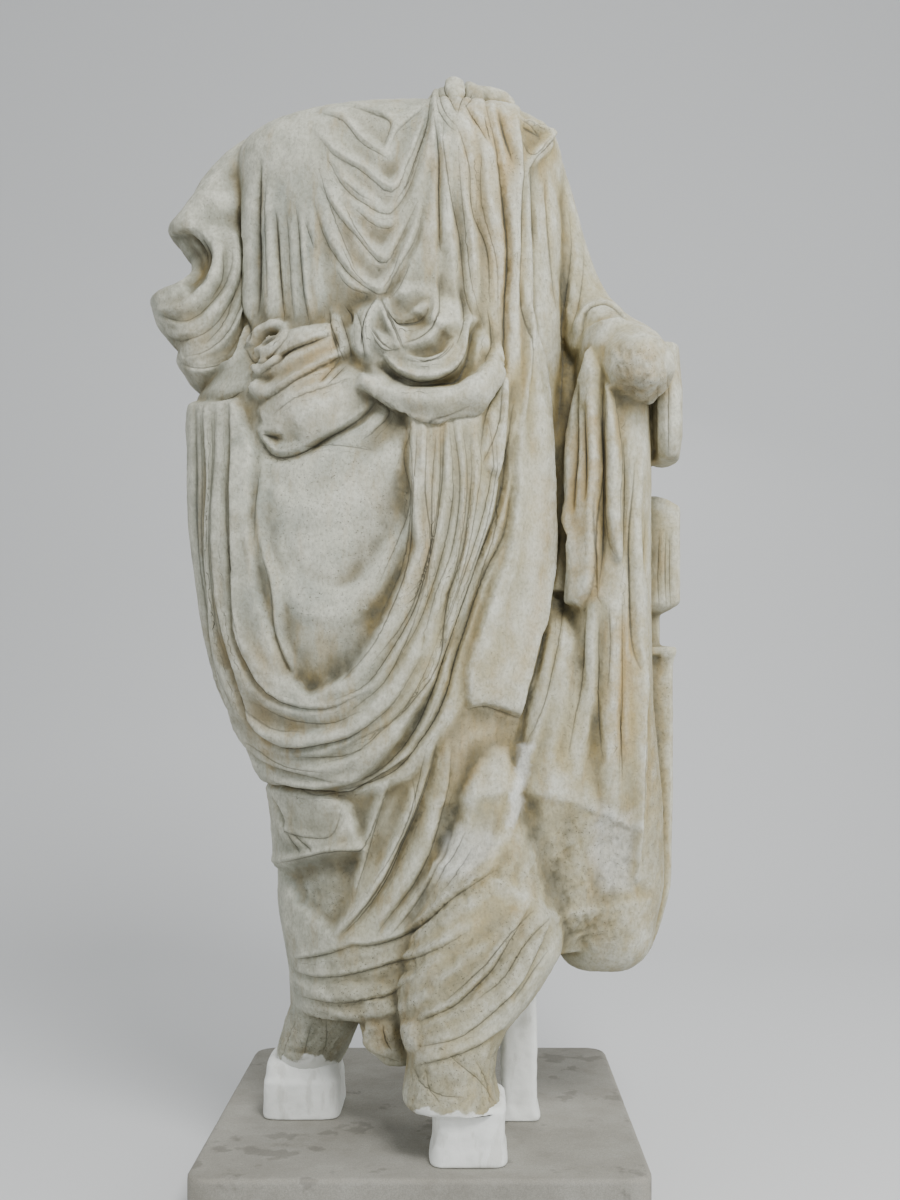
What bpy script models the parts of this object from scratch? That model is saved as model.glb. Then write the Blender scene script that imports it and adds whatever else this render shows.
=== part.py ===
"""A headless marble figure in a toga, standing on plaster feet, a plaster prop and a stone slab."""

import math

import bmesh
import bpy
import numpy as np
from mathutils import Vector
from mathutils.bvhtree import BVHTree

# Driving sizes, in metres
FIGURE_HEIGHT = 1.70
SLAB_WIDTH = 0.67
SLAB_DEPTH = 0.68
SLAB_THICKNESS = 0.10
SLAB_CORNER = 0.035
SLAB_ARRIS = 0.004
FIGURE_FORWARD = 0.036
JOINT_GAP = 0.0003
BLOCK_WIDTH = 0.126
BLOCK_DEPTH = 0.138
BLOCK_SHOULDER = 0.060
BLOCK_DRAFT = 0.004
BLOCK_SMEAR = 0.020
FOOT_WIDTH = 0.116
FOOT_DEPTH = 0.150
FOOT_FLARE = 0.008
PROP_WIDTH = 0.060
PROP_DEPTH = 0.085
PROP_FLARE = 0.008
PROP_FLARE_HEIGHT = 0.025
PROP_MARGIN = 0.004
PLASTER_SQUARENESS = 6

# The figure is free form, so its shape is drawn as shares of its own height. The drawing is
# squared paper: columns run to the right, rows run down, and depths run away from the viewer.
# The slab's top is its bottom row, and the viewer stands at eye height a few steps in front.
DRAWN_HEIGHT = 1030
FLOOR_ROW = 1110
MIDDLE_COLUMN = 425
EYE_COLUMN, EYE_ROW, EYE_DISTANCE = 463, 686, 1300
UNIT = FIGURE_HEIGHT / DRAWN_HEIGHT

# Levels of the block-out: row, left column, right column, front depth, back depth
TRUNK = (
    (116, 352, 506, -36, 40),
    (122, 316, 526, -58, 60),
    (134, 276, 548, -78, 80),
    (152, 242, 560, -94, 96),
    (184, 236, 564, -104, 104),
    (230, 245, 560, -108, 102),
    (290, 250, 560, -110, 94),
    (340, 244, 562, -112, 96),
    (385, 220, 562, -116, 102),
    (399, 200, 562, -117, 103),
    (420, 196, 562, -118, 104),
    (480, 197, 562, -124, 106),
    (540, 201, 560, -126, 106),
    (620, 213, 556, -124, 104),
    (690, 231, 552, -118, 100),
    (745, 256, 548, -108, 96),
    (785, 274, 545, -98, 92),
    (840, 279, 545, -92, 90),
    (900, 279, 552, -92, 88),
    (950, 288, 556, -94, 86),
    (985, 293, 532, -92, 78),
    (1012, 302, 470, -84, 66),
)
RIGHT_LEG = (
    (950, 290, 400, -70, 66),
    (1000, 292, 372, -54, 66),
    (1024, 284, 358, -44, 62),
    (1046, 278, 349, -33, 56),
    (1062, 274, 343, -25, 51),
    (1075, 270, 340, -21, 48),
    (1100, 266, 338, -19, 46),
)
LEFT_LEG = (
    (740, 452, 520, -96, 50),
    (800, 436, 540, -106, 50),
    (860, 420, 556, -116, 56),
    (905, 410, 566, -128, 58),
    (945, 402, 562, -142, 50),
    (985, 398, 538, -154, 36),
    (1020, 401, 508, -162, 8),
    (1045, 408, 497, -166, -20),
    (1070, 406, 494, -166, -50),
    (1088, 402, 498, -166, -66),
    (1101, 403, 501, -166, -70),
    (1109, 422, 504, -165, -74),
    (1140, 428, 507, -164, -76),
)
HANGING_POINT = (
    (990, 350, 424, -96, -10),
    (1025, 361, 418, -88, -20),
    (1046, 366, 417, -84, -30),
    (1062, 386, 414, -80, -40),
)
ARM_FALL = (
    (334, 584, 622, -90, 60),
    (352, 574, 640, -98, 70),
    (400, 568, 646, -100, 76),
    (470, 560, 648, -96, 80),
    (600, 556, 648, -92, 84),
    (700, 548, 650, -86, 88),
    (800, 538, 660, -78, 90),
    (880, 536, 662, -74, 90),
    (925, 546, 652, -70, 84),
    (950, 556, 648, -60, 78),
    (966, 572, 622, -46, 60),
)
SIDE_WEB = (
    (500, 520, 600, 10, 60),
    (560, 508, 602, -20, 64),
    (640, 500, 604, -80, 68),
    (700, 490, 608, -88, 70),
    (820, 470, 610, -92, 70),
    (900, 470, 606, -88, 70),
    (945, 490, 590, -66, 60),
)
ARM_WEB = (
    (190, 520, 560, -30, 60),
    (260, 530, 572, -10, 66),
    (340, 530, 600, -20, 70),
    (400, 530, 600, -52, 72),
    (480, 530, 600, -60, 74),
    (600, 520, 600, -62, 74),
)
OUTER_FALL = (
    (352, 642, 676, -80, 10),
    (400, 647, 680, -80, 10),
    (440, 650, 680, -76, 6),
    (464, 654, 677, -66, -4),
)
PIER_PANEL = (
    (500, 634, 650, 6, 80),
    (506, 634, 666, 0, 84),
    (512, 634, 675, 0, 84),
    (606, 634, 675, 0, 84),
    (616, 634, 657, 8, 78),
)
PIER_FOOT = (
    (645, 630, 668, -2, 82),
    (651, 630, 673, -8, 86),
    (662, 630, 668, 0, 82),
    (790, 630, 668, 0, 84),
    (880, 626, 666, 0, 84),
    (915, 620, 658, 6, 78),
    (948, 610, 647, 14, 70),
)
PIER_WEB = (
    (590, 630, 656, 14, 70),
    (670, 630, 657, 14, 70),
)
SLEEVE = (
    (170, 226, 262, -30, 50),
    (196, 202, 262, -44, 50),
    (213, 189, 262, -50, 48),
    (224, 179, 262, -50, 44),
    (233, 169, 262, -48, 40),
    (240, 171, 262, -50, 40),
    (247, 179, 262, -54, 42),
    (258, 186, 262, -56, 44),
    (267, 194, 262, -58, 46),
    (282, 195, 262, -60, 48),
    (290, 187, 262, -62, 50),
    (298, 172, 262, -64, 50),
    (304, 152, 262, -64, 50),
    (315, 155, 262, -64, 52),
    (330, 159, 262, -64, 52),
    (344, 171, 262, -64, 50),
    (357, 183, 262, -64, 48),
    (366, 178, 262, -64, 46),
    (376, 185, 262, -64, 44),
    (390, 194, 262, -62, 38),
    (399, 208, 258, -58, 30),
    (404, 224, 246, -50, 10),
)
UMBO = (
    (292, 384, 446, -112, -60),
    (318, 352, 474, -121, -60),
    (350, 334, 494, -127, -60),
    (385, 340, 500, -130, -60),
    (408, 372, 486, -126, -60),
    (418, 400, 460, -116, -60),
)

# Limbs: column, row, depth, radius
RIGHT_ARM = (
    (286, 172, 0, 44), (256, 188, -2, 44), (228, 204, -8, 36), (206, 222, -14, 24), (184, 233, -18, 10),
)
LEFT_ARM = (
    (526, 152, 0, 32),
    (543, 210, 0, 33),
    (555, 258, 0, 34),
    (573, 305, -2, 35),
    (598, 340, -24, 37),
    (628, 360, -70, 38),
    (646, 372, -118, 33),
)
SHOULDER_ROLL = ((470, 116, -44, 9), (484, 106, -30, 12), (500, 110, -30, 11), (512, 126, -44, 8))
SHOULDER_KNOT = (
    (446, 112, -30, 10), (447, 94, -26, 11), (454, 88, -20, 9), (464, 100, -26, 10), (468, 122, -40, 9),
)

# Rolls of cloth that lie on the block-out: how far they stand proud, in radii, then column, row, radius
ROLLS = (
    (0.0, ((262, 354, 10), (284, 346, 14), (310, 338, 13), (334, 332, 9))),
    (0.5, ((252, 346, 5), (255, 338, 5), (266, 329, 5), (279, 326, 5), (287, 330, 5), (280, 340, 5), (268, 350, 5),
           (257, 352, 5))),
    (0.0, ((258, 370, 8), (284, 368, 10), (308, 357, 9), (334, 343, 6))),
    (0.1, ((253, 386, 7), (268, 392, 9), (290, 381, 9), (318, 364, 8), (344, 350, 6))),
    (-0.35, ((276, 424, 24), (300, 411, 31), (330, 394, 31), (360, 381, 22), (386, 380, 13))),
    (-0.1, ((334, 316, 6), (341, 335, 10), (346, 356, 8))),
    (-0.2, ((377, 302, 6), (368, 320, 9), (363, 338, 10), (365, 356, 7))),
    (-0.1, ((382, 301, 6), (391, 316, 9), (398, 332, 9), (402, 348, 6))),
    (-0.2, ((370, 330, 6), (380, 341, 9), (392, 347, 7))),
    (0.1, ((383, 302, 5), (396, 311, 7), (410, 314, 7), (426, 306, 5))),
    (-0.3, ((404, 346, 6), (420, 340, 10), (436, 328, 11), (444, 308, 9), (444, 286, 6))),
    (-0.3, ((404, 360, 8), (424, 367, 11), (444, 361, 11), (457, 345, 9), (463, 326, 6))),
    (-0.4, ((380, 366, 9), (402, 379, 12), (430, 382, 12), (456, 372, 12), (471, 350, 10), (473, 322, 7))),
    (-0.1, ((358, 385, 9), (386, 397, 14), (420, 405, 16), (454, 402, 16), (480, 388, 14), (494, 362, 11),
            (501, 334, 7))),
)

# Sets of folds. Each spreads a number of rounded ridges across its guide routes: height as a share
# of their half width, fullness, how many, and the guides as column and row
FOLDS = (
    ("right breast", 0.75, 0.95, 5, (
        ((251, 176), (250, 250), (249, 334)),
        ((312, 200), (316, 250), (322, 310)),
    )),
    ("shoulder, inner", 0.75, 0.95, 3, (
        ((433, 116), (425, 180), (412, 240), (392, 292)),
        ((441, 114), (442, 190), (440, 260), (428, 312)),
    )),
    ("shoulder, middle", 0.75, 0.95, 5, (
        ((446, 118), (448, 170), (452, 240), (454, 300), (446, 344)),
        ((490, 106), (496, 180), (497, 250), (496, 310), (492, 350)),
    )),
    ("shoulder, outer", 0.75, 0.95, 3, (
        ((506, 106), (511, 180), (509, 260), (505, 330), (500, 400), (488, 466)),
        ((522, 126), (526, 200), (524, 290), (527, 360), (534, 420), (542, 480)),
    )),
    ("upper arm", 0.3, 0.9, 4, (
        ((542, 170), (544, 250), (550, 330), (556, 400)),
        ((566, 215), (580, 270), (584, 320), (574, 390)),
    )),
    ("swag", 0.8, 0.95, 6, (
        ((229, 412), (227, 520), (236, 605), (256, 655), (280, 684), (310, 694), (346, 688), (374, 662),
         (402, 616), (422, 548), (432, 492), (434, 416)),
        ((212, 408), (212, 520), (216, 605), (232, 686), (256, 724), (294, 742), (336, 738), (378, 708),
         (412, 660), (438, 600), (456, 520), (462, 430)),
        ((197, 406), (197, 464), (204, 576), (215, 634), (229, 683), (247, 737), (278, 772), (320, 780),
         (356, 773), (393, 733), (427, 677), (458, 600), (487, 506), (499, 400)),
    )),
    ("second layer", 0.65, 0.95, 3, (
        ((506, 520), (494, 580), (472, 640), (452, 700), (422, 748), (384, 778)),
        ((516, 510), (508, 570), (488, 630), (466, 686), (446, 726), (410, 772), (362, 792)),
    )),
    ("band", 0.25, 0.9, 4, (
        ((514, 430), (510, 520), (496, 600), (478, 690)),
        ((548, 450), (548, 540), (536, 630), (514, 700)),
    )),
    ("skirt, left", 0.6, 0.95, 3, (
        ((412, 770), (386, 814), (364, 856), (350, 906)),
        ((430, 754), (414, 806), (388, 856), (362, 906), (338, 936)),
    )),
    ("skirt, right", 0.45, 0.95, 6, (
        ((448, 752), (436, 800), (414, 850), (382, 902), (342, 944)),
        ((524, 760), (512, 820), (476, 880), (430, 926), (380, 952)),
    )),
    ("skirt, far right", 0.25, 0.9, 3, (
        ((536, 760), (524, 830), (494, 900)),
        ((610, 740), (596, 830), (580, 920)),
    )),
    ("hem", 0.4, 0.9, 4, (
        ((292, 958), (336, 962), (386, 950), (444, 924), (500, 882)),
        ((298, 1002), (340, 1012), (380, 1010), (414, 1000), (440, 980)),
    )),
    ("hem, rising", 0.5, 0.95, 6, (
        ((400, 1002), (450, 972), (500, 930), (536, 894)),
        ((420, 1062), (470, 1044), (515, 1012), (545, 970), (572, 928)),
    )),
    ("left ankle", 0.35, 0.9, 4, (
        ((412, 1068), (408, 1085), (410, 1108)),
        ((486, 1046), (490, 1080), (494, 1112)),
    )),
    ("right ankle", 0.4, 0.9, 4, (
        ((292, 1012), (284, 1040), (280, 1066)),
        ((338, 1016), (336, 1040), (336, 1064)),
    )),
    ("hanging point", 0.6, 0.95, 3, (
        ((368, 1022), (370, 1040), (384, 1054)),
        ((410, 1020), (410, 1040), (408, 1054)),
    )),
    ("arm fall", 0.4, 0.9, 5, (
        ((566, 612), (562, 680), (550, 740), (540, 790)),
        ((628, 570), (626, 660), (622, 740), (612, 800)),
    )),
    ("outer fall", 0.5, 0.9, 3, (
        ((660, 390), (658, 430), (660, 456)),
        ((676, 385), (677, 430), (675, 456)),
    )),
)

# Single ridges: half width, height, then the route as column and row
RIDGES = (
    (10, 9, ((214, 238), (217, 258), (211, 280), (199, 296), (184, 308), (160, 310))),
    (11, 9, ((233, 236), (232, 265), (229, 290), (218, 312), (202, 329), (184, 336), (166, 332))),
    (9, 8, ((247, 280), (240, 312), (225, 333), (211, 347), (192, 356))),
    (9, 7, ((250, 325), (240, 348), (226, 361), (208, 367), (186, 366))),
    (7, 5, ((252, 190), (252, 240), (251, 290), (251, 318))),
    (9, 5, ((334, 112), (360, 136), (383, 156), (398, 126))),
    (8, 5, ((319, 138), (347, 160), (390, 190), (411, 164), (428, 106))),
    (8, 4, ((324, 186), (360, 206), (388, 219), (405, 206), (420, 172))),
    (9, 5, ((328, 194), (354, 234), (379, 261), (405, 226), (419, 196))),
    (9, 5, ((324, 200), (346, 262), (374, 292), (398, 266), (414, 230))),
    (8, 5, ((330, 250), (346, 276), (362, 294))),
    (11, 7, ((262, 460), (258, 534), (272, 584), (280, 634), (296, 672))),
    (10, 3, ((274, 500), (292, 518), (332, 516), (376, 492), (404, 450), (407, 424))),
    (10, 3, ((274, 538), (292, 576), (332, 594), (360, 588), (390, 548), (412, 508))),
    (10, 7, ((408, 428), (412, 492), (411, 548), (388, 616), (350, 676), (314, 692))),
    (9, 7, ((421, 412), (423, 464), (431, 520), (422, 576), (402, 606))),
    (9, 7, ((632, 460), (634, 540), (636, 640), (640, 760), (640, 880))),
    (7, 6, ((608, 600), (612, 634), (608, 690))),
    (8, 5, ((280, 866), (314, 856), (364, 848))),
    (7, 4, ((279, 802), (295, 835), (335, 841), (352, 804))),
    (8, 6, ((520, 120), (543, 126), (550, 136), (540, 152), (524, 172))),
    (9, 7, ((574, 332), (588, 314), (610, 312), (626, 322))),
    (8, 6, ((488, 400), (487, 430), (480, 466))),
)

# Folds at the back, as columns and rows seen straight through from the front
BACK_FOLDS = (
    ("back, slanting", 0.35, 0.9, 8, (
        ((486, 128), (400, 230), (300, 350), (222, 470)),
        ((520, 140), (470, 330), (360, 540), (250, 700)),
        ((545, 170), (535, 400), (480, 640), (350, 850), (292, 930)),
    )),
    ("back, right shoulder", 0.3, 0.9, 5, (
        ((440, 134), (360, 190), (270, 240)),
        ((410, 128), (330, 152), (262, 182)),
    )),
    ("back, lower", 0.35, 0.9, 5, (
        ((400, 840), (390, 910), (385, 985)),
        ((525, 640), (525, 800), (515, 960)),
    )),
    ("back, arm fall", 0.35, 0.9, 4, (
        ((572, 380), (566, 600), (560, 900)),
        ((632, 380), (634, 600), (640, 900)),
    )),
)

# Cuts with the drill and the flat chisel: half width, depth, then the route as column and row
CUTS = (
    (4, 10, ((260, 162), (259, 218), (257, 300), (255, 335))),
    (4, 8, ((277, 210), (280, 264), (284, 323))),
    (4, 6, ((297, 205), (302, 264), (308, 323))),
    (4, 9, ((436, 124), (439, 188), (442, 250), (444, 300), (438, 336))),
    (4, 8, ((499, 130), (504, 150), (511, 166))),
    (4, 10, ((500, 162), (503, 239), (501, 315), (496, 370), (482, 460))),
    (5, 14, ((531, 233), (533, 254), (538, 315), (545, 380), (553, 440), (555, 520), (552, 580), (541, 646),
             (527, 719), (517, 760))),
    (6, 13, ((440, 742), (426, 793), (409, 838), (378, 890), (337, 942))),
    (4, 8, ((583, 416), (583, 470), (583, 516))),
    (4, 7, ((602, 385), (604, 470), (602, 540), (597, 590))),
    (4, 8, ((628, 470), (627, 574), (630, 671), (633, 780), (633, 870))),
    (4, 6, ((658, 530), (658, 602))),
    (4, 7, ((207, 420), (207, 520), (211, 600), (226, 676), (250, 728))),
)

# Layers of cloth that lie over the rest, or breaks sunk into it: height, how wide its edge is, outline
SHEETS = (
    (-9, 9, ((166, 240), (184, 229), (196, 228), (206, 242), (211, 262), (206, 282), (190, 296), (180, 280),
             (176, 256))),
    (9, 5, ((180, 404), (186, 480), (192, 576), (204, 636), (218, 690), (238, 742), (270, 780), (320, 788),
         (360, 781), (399, 740), (433, 684), (464, 607), (494, 508), (506, 430), (503, 384), (440, 410),
         (414, 414), (413, 548), (388, 612), (350, 672), (312, 690), (286, 668), (262, 590), (252, 520),
         (258, 452), (240, 400))),
    (5, 5, ((434, 112), (430, 170), (418, 240), (394, 296), (440, 330), (470, 330), (498, 372), (480, 470),
         (496, 480), (520, 420), (532, 300), (528, 200), (516, 112), (470, 90))),
    (8, 4, ((516, 420), (512, 510), (500, 560), (480, 619), (464, 675), (466, 708), (482, 705), (503, 711),
         (519, 718), (532, 690), (543, 640), (551, 574), (553, 480), (546, 420))),
    (9, 4, ((590, 346), (578, 400), (570, 435), (573, 500), (568, 520), (576, 536), (572, 604), (583, 607),
         (593, 588), (598, 530), (600, 440), (600, 370))),
    (8, 4, ((606, 380), (605, 450), (607, 525), (613, 562), (622, 560), (623, 545), (622, 480), (617, 430),
         (612, 384))),
    (7, 5, ((262, 780), (330, 792), (352, 802), (366, 850), (316, 860), (278, 868), (262, 850))),
    (-5, 8, ((283, 872), (364, 856), (357, 896), (334, 934), (296, 906))),
    (-7, 26, ((440, 806), (520, 790), (560, 800), (640, 830), (650, 900), (560, 915), (500, 880), (430, 860))),
)

# The broken neck: its middle as column, row and depth, and how far the break reaches each way
NECK_MIDDLE = (394, 124, -4)
NECK_REACH = (40, 34, 16)

# Surface and mesh
CLOTH_SQUARENESS = 2.5
WEB_SQUARENESS = 3
PIER_SQUARENESS = 9
RING_POINTS = 56
RINGS = 72
BLOCK_VOXEL = 0.0075
SMOOTHING_PASSES = 4
ROUTE_STEPS = 26
ENDS = np.sin(np.linspace(0.15, math.pi - 0.15, ROUTE_STEPS)) ** 0.5
FOLD_ROUNDNESS = 0.8
RIDGE_ROUNDNESS = 1.0
UNEVEN_PLACE = 0.22
UNEVEN_HEIGHT = 0.25
MARBLE_TRIANGLES = 8600
MARBLE_COLOUR = (0.62, 0.58, 0.49, 1.0)
PLASTER_COLOUR = (0.78, 0.77, 0.74, 1.0)
SLAB_COLOUR = (0.42, 0.40, 0.36, 1.0)

# Where the plaster stands, as column and depth, and its flat seats, as heights over the slab
BLOCK_MIDDLE = (304, 10)
FOOT_MIDDLE = (468, -114)
PROP_MIDDLE = (518, -8)
LEG_PARTING = 380
REACH = 400
BLOCK_SEAT = 48 * UNIT
FOOT_SEAT = 47 * UNIT
PROP_SEAT = 136 * UNIT


def placed(column, row, depth=0.0):
    """A point of the drawing, in metres."""
    return Vector(
        (
            (column - MIDDLE_COLUMN) * UNIT,
            depth * UNIT - FIGURE_FORWARD,
            SLAB_THICKNESS + (FLOOR_ROW - row) * UNIT,
        )
    )


EYE = placed(EYE_COLUMN, EYE_ROW, -EYE_DISTANCE)


def nearness(depth):
    """How much smaller a thing at this depth is really than it is drawn."""
    return (EYE_DISTANCE + depth) / EYE_DISTANCE


def seen(column, row, depth):
    """The point at this depth that the eye sees at this column and row."""
    return EYE + (placed(column, row) - EYE) * nearness(depth)


def even_route(points, steps=ROUTE_STEPS):
    """Evenly spaced points on a smooth curve through the given ones."""
    points = np.array(points, float)
    before, after = 2 * points[0] - points[1], 2 * points[-1] - points[-2]
    held = np.vstack([before, points, after])
    fine = []
    for start, a, b, end in zip(held, held[1:], held[2:], held[3:]):
        for t in np.linspace(0, 1, 9)[:-1]:
            fine.append(
                0.5
                * (
                    2 * a
                    + (b - start) * t
                    + (2 * start - 5 * a + 4 * b - end) * t**2
                    + (3 * a - start - 3 * b + end) * t**3
                )
            )
    fine = np.array([*fine, points[-1]])
    run = np.concatenate([[0], np.cumsum(np.linalg.norm(np.diff(fine[:, :2], axis=0), axis=1))])
    stations = np.linspace(0, run[-1], steps)
    return np.column_stack([np.interp(stations, run, column) for column in fine.T])


def stacked_form(bm, levels, squareness=CLOTH_SQUARENESS):
    """A closed form through the levels, from a sphere whose rings are moved onto them."""
    levels = np.array(levels, float)
    rows = np.linspace(levels[0, 0], levels[-1, 0], RINGS + 1)
    table = np.column_stack([np.interp(rows, levels[:, 0], side) for side in levels[:, 1:].T])
    for _ in range(2):
        table[1:-1] = (table[:-2] + 2 * table[1:-1] + table[2:]) / 4
    made = bmesh.ops.create_uvsphere(bm, u_segments=RING_POINTS, v_segments=RINGS, radius=1)
    for vert in made["verts"]:
        ring = round(math.acos(max(-1, min(1, vert.co.z))) / math.pi * RINGS)
        reach = 0.0 if ring in (0, RINGS) else 1.0
        left, right, front, back = table[ring]
        middle = (front + back) / 2
        turn = math.atan2(vert.co.y, vert.co.x)
        across = reach * math.copysign(abs(math.cos(turn)) ** (2 / squareness), math.cos(turn))
        deep = reach * math.copysign(abs(math.sin(turn)) ** (2 / squareness), math.sin(turn))
        centre = seen((left + right) / 2, rows[ring], middle)
        centre.x += across * (right - left) / 2 * UNIT * nearness(middle)
        centre.y += deep * (back - front) / 2 * UNIT
        vert.co = centre


def swept_roll(bm, centres, radii):
    """A tapered round roll along the centres, from a curve with a bevel."""
    curve = bpy.data.curves.new("roll", "CURVE")
    curve.dimensions = "3D"
    curve.bevel_depth = UNIT
    curve.bevel_resolution = 3
    curve.use_fill_caps = True
    spline = curve.splines.new("POLY")
    spline.points.add(len(centres) - 1)
    for point, centre, radius in zip(spline.points, centres, radii):
        point.co = (*centre, 1)
        point.radius = radius
    holder = bpy.data.objects.new("roll", curve)
    mesh = bpy.data.meshes.new_from_object(holder)
    bpy.data.objects.remove(holder)
    bpy.data.curves.remove(curve)
    bm.from_mesh(mesh)
    bpy.data.meshes.remove(mesh)


def limb(bm, stations):
    """A round limb whose stations are seen at their columns and rows."""
    route = even_route(stations)
    swept_roll(bm, [seen(*station[:3]) for station in route], [r * nearness(d) for _, _, d, r in route])


class Surface:
    """The skin that rolls lie on and folds are carved into."""

    def __init__(self, bm):
        self.tree = BVHTree.FromBMesh(bm)

    def under(self, column, row):
        """The skin's point and outward direction where the eye meets it."""
        towards = placed(column, row) - EYE
        return self._met(EYE, towards, placed(column, row))

    def behind(self, column, row):
        """The same, looked at straight from behind."""
        start = placed(column, row, EYE_DISTANCE)
        return self._met(start, Vector((0, -1, 0)), placed(column, row, 60))

    def _met(self, start, towards, fallback):
        point, normal, _, _ = self.tree.ray_cast(start, towards.normalized())
        if point is None:
            point, normal, _, _ = self.tree.find_nearest(fallback)
        return point, normal

    def laid(self, route, look):
        """A route of the drawing laid on the skin, with its jumps in depth eased."""
        points = np.array([look(*station[:2])[0] for station in route])
        for _ in range(2):
            points[1:-1] = (points[:-2] + 2 * points[1:-1] + points[2:]) / 4
        return points


def lay_roll(bm, skin, proud, stations):
    """A roll of cloth on the skin, lifted by its share of its radius."""
    route = even_route(stations)
    centres, radii = [], []
    for column, row, radius in route:
        point, normal = skin.under(column, row)
        centres.append(point + normal * (proud * radius * UNIT))
        radii.append(radius)
    swept_roll(bm, centres, radii)


def folds_between(guides, count, fullness, share):
    """Routes, half widths and heights of the folds spread across the guides, in drawing units."""
    lines = np.array([even_route(guide) for guide in guides])
    numbers = np.arange(count)
    inner = np.where((numbers > 0) & (numbers < count - 1), UNEVEN_PLACE, 0.0)
    shares = (numbers + inner * np.sin(2.4 * numbers + lines[0, 0, 0])) / max(count - 1, 1)
    places = shares * (len(lines) - 1)
    spread = []
    for place in places:
        low = min(int(place), len(lines) - 2)
        spread.append(lines[low] + (lines[low + 1] - lines[low]) * (place - low))
    spread = np.array(spread)
    gaps = np.linalg.norm(np.diff(spread, axis=0), axis=2)
    steps = np.arange(ROUTE_STEPS)
    taper = np.clip(np.minimum(steps, steps[::-1]) / 4 + 0.25, 0, 1)
    for number, route in enumerate(spread):
        beside = gaps[max(number - 1, 0) : number + 1].mean(axis=0)
        half = 0.5 * fullness * beside + 1.0
        lift = 1 + UNEVEN_HEIGHT * math.sin(1.7 * number + lines[0, 0, 1])
        yield route, half, half * share * lift * taper


def share_along(points, route):
    """Distance from each point to the route, and how far along it the nearest place is."""
    nearest = np.full(len(points), np.inf)
    along = np.zeros(len(points))
    for step, (start, end) in enumerate(zip(route, route[1:])):
        run = end - start
        length = max(run @ run, 1e-12)
        t = np.clip((points - start) @ run / length, 0, 1)
        away = np.linalg.norm(points - start - t[:, None] * run, axis=1)
        closer = away < nearest
        nearest[closer] = away[closer]
        along[closer] = step + t[closer]
    return nearest, along


def press(relief, points, route, half, height, roundness):
    """Raises the relief to a rounded ridge along the route, or keeps what is higher."""
    reach = half.max() * UNIT
    close = np.all((points > route.min(axis=0) - reach) & (points < route.max(axis=0) + reach), axis=1)
    if not close.any():
        return
    away, along = share_along(points[close], route)
    steps = np.arange(len(route))
    across = away / (np.interp(along, steps, half) * UNIT)
    rise = np.interp(along, steps, height) * UNIT * np.clip(1 - across**2, 0, 1) ** roundness
    relief[close] = np.maximum(relief[close], rise)


def drawn_place(points):
    """Columns and rows at which the eye sees the points."""
    eye = np.array(EYE)
    share = EYE_DISTANCE * UNIT / (points[:, 1] - eye[1])
    flat = eye + (points - eye) * share[:, None]
    columns = flat[:, 0] / UNIT + MIDDLE_COLUMN
    rows = FLOOR_ROW - (flat[:, 2] - SLAB_THICKNESS) / UNIT
    return np.column_stack([columns, rows])


def sheet_relief(places, height, border, outline):
    """A raised or sunk area: its height inside the outline, easing off at the border."""
    outline = np.array(outline, float)
    inside = np.zeros(len(places), bool)
    for (ax, ay), (bx, by) in zip(outline, np.roll(outline, -1, axis=0)):
        crosses = (ay > places[:, 1]) != (by > places[:, 1])
        level = np.where(crosses, ax + (places[:, 1] - ay) * (bx - ax) / (by - ay + 1e-9), 0)
        inside ^= crosses & (places[:, 0] < level)
    rim = np.vstack([outline, outline[:1]])
    away, _ = share_along(places, rim)
    return np.where(inside, np.clip(away / border, 0, 1), 0) ** 0.5 * height * UNIT


def carve(mesh):
    """Moves the block-out's points along their normals into sheets, folds and cuts."""
    bm = bmesh.new()
    bm.from_mesh(mesh)
    skin = Surface(bm)
    bm.free()
    count = len(mesh.vertices)
    points = np.empty(count * 3, np.float32)
    mesh.vertices.foreach_get("co", points)
    points = points.reshape(-1, 3).astype(float)
    normals = np.empty(count * 3, np.float32)
    mesh.vertex_normals.foreach_get("vector", normals)
    normals = normals.reshape(-1, 3).astype(float)

    raised = np.zeros(count)
    for table, look in ((FOLDS, skin.under), (BACK_FOLDS, skin.behind)):
        for _, share, fullness, number, guides in table:
            for route, half, height in folds_between(guides, number, fullness, share):
                press(raised, points, skin.laid(route, look), half, height, FOLD_ROUNDNESS)
    for half, height, route in RIDGES:
        line = skin.laid(even_route(route), skin.under)
        press(raised, points, line, half * ENDS, height * ENDS, RIDGE_ROUNDNESS)
    cut = np.zeros(count)
    for half, depth, route in CUTS:
        line = skin.laid(even_route(route), skin.under)
        press(cut, points, line, half * np.ones(ROUTE_STEPS), depth * ENDS, RIDGE_ROUNDNESS)
    facing = normals @ np.array((0, -1, 0)) > 0.05
    places = drawn_place(points[facing])
    sheets = np.zeros(count)
    for sheet in SHEETS:
        sheets[facing] += sheet_relief(places, *sheet)
    points += normals * (raised + sheets - cut)[:, None]
    mesh.vertices.foreach_set("co", points.astype(np.float32).ravel())
    mesh.update()


def mesh_after(mesh, *settings):
    """A new mesh, after modifiers given as a kind and its settings."""
    holder = bpy.data.objects.new("holder", mesh)
    bpy.context.scene.collection.objects.link(holder)
    for kind, values in settings:
        modifier = holder.modifiers.new(kind, kind)
        for name, value in values.items():
            setattr(modifier, name, value)
    bpy.context.view_layer.update()
    graph = bpy.context.evaluated_depsgraph_get()
    result = bpy.data.meshes.new_from_object(holder.evaluated_get(graph))
    bpy.data.objects.remove(holder)
    bpy.data.meshes.remove(mesh)
    return result


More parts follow.
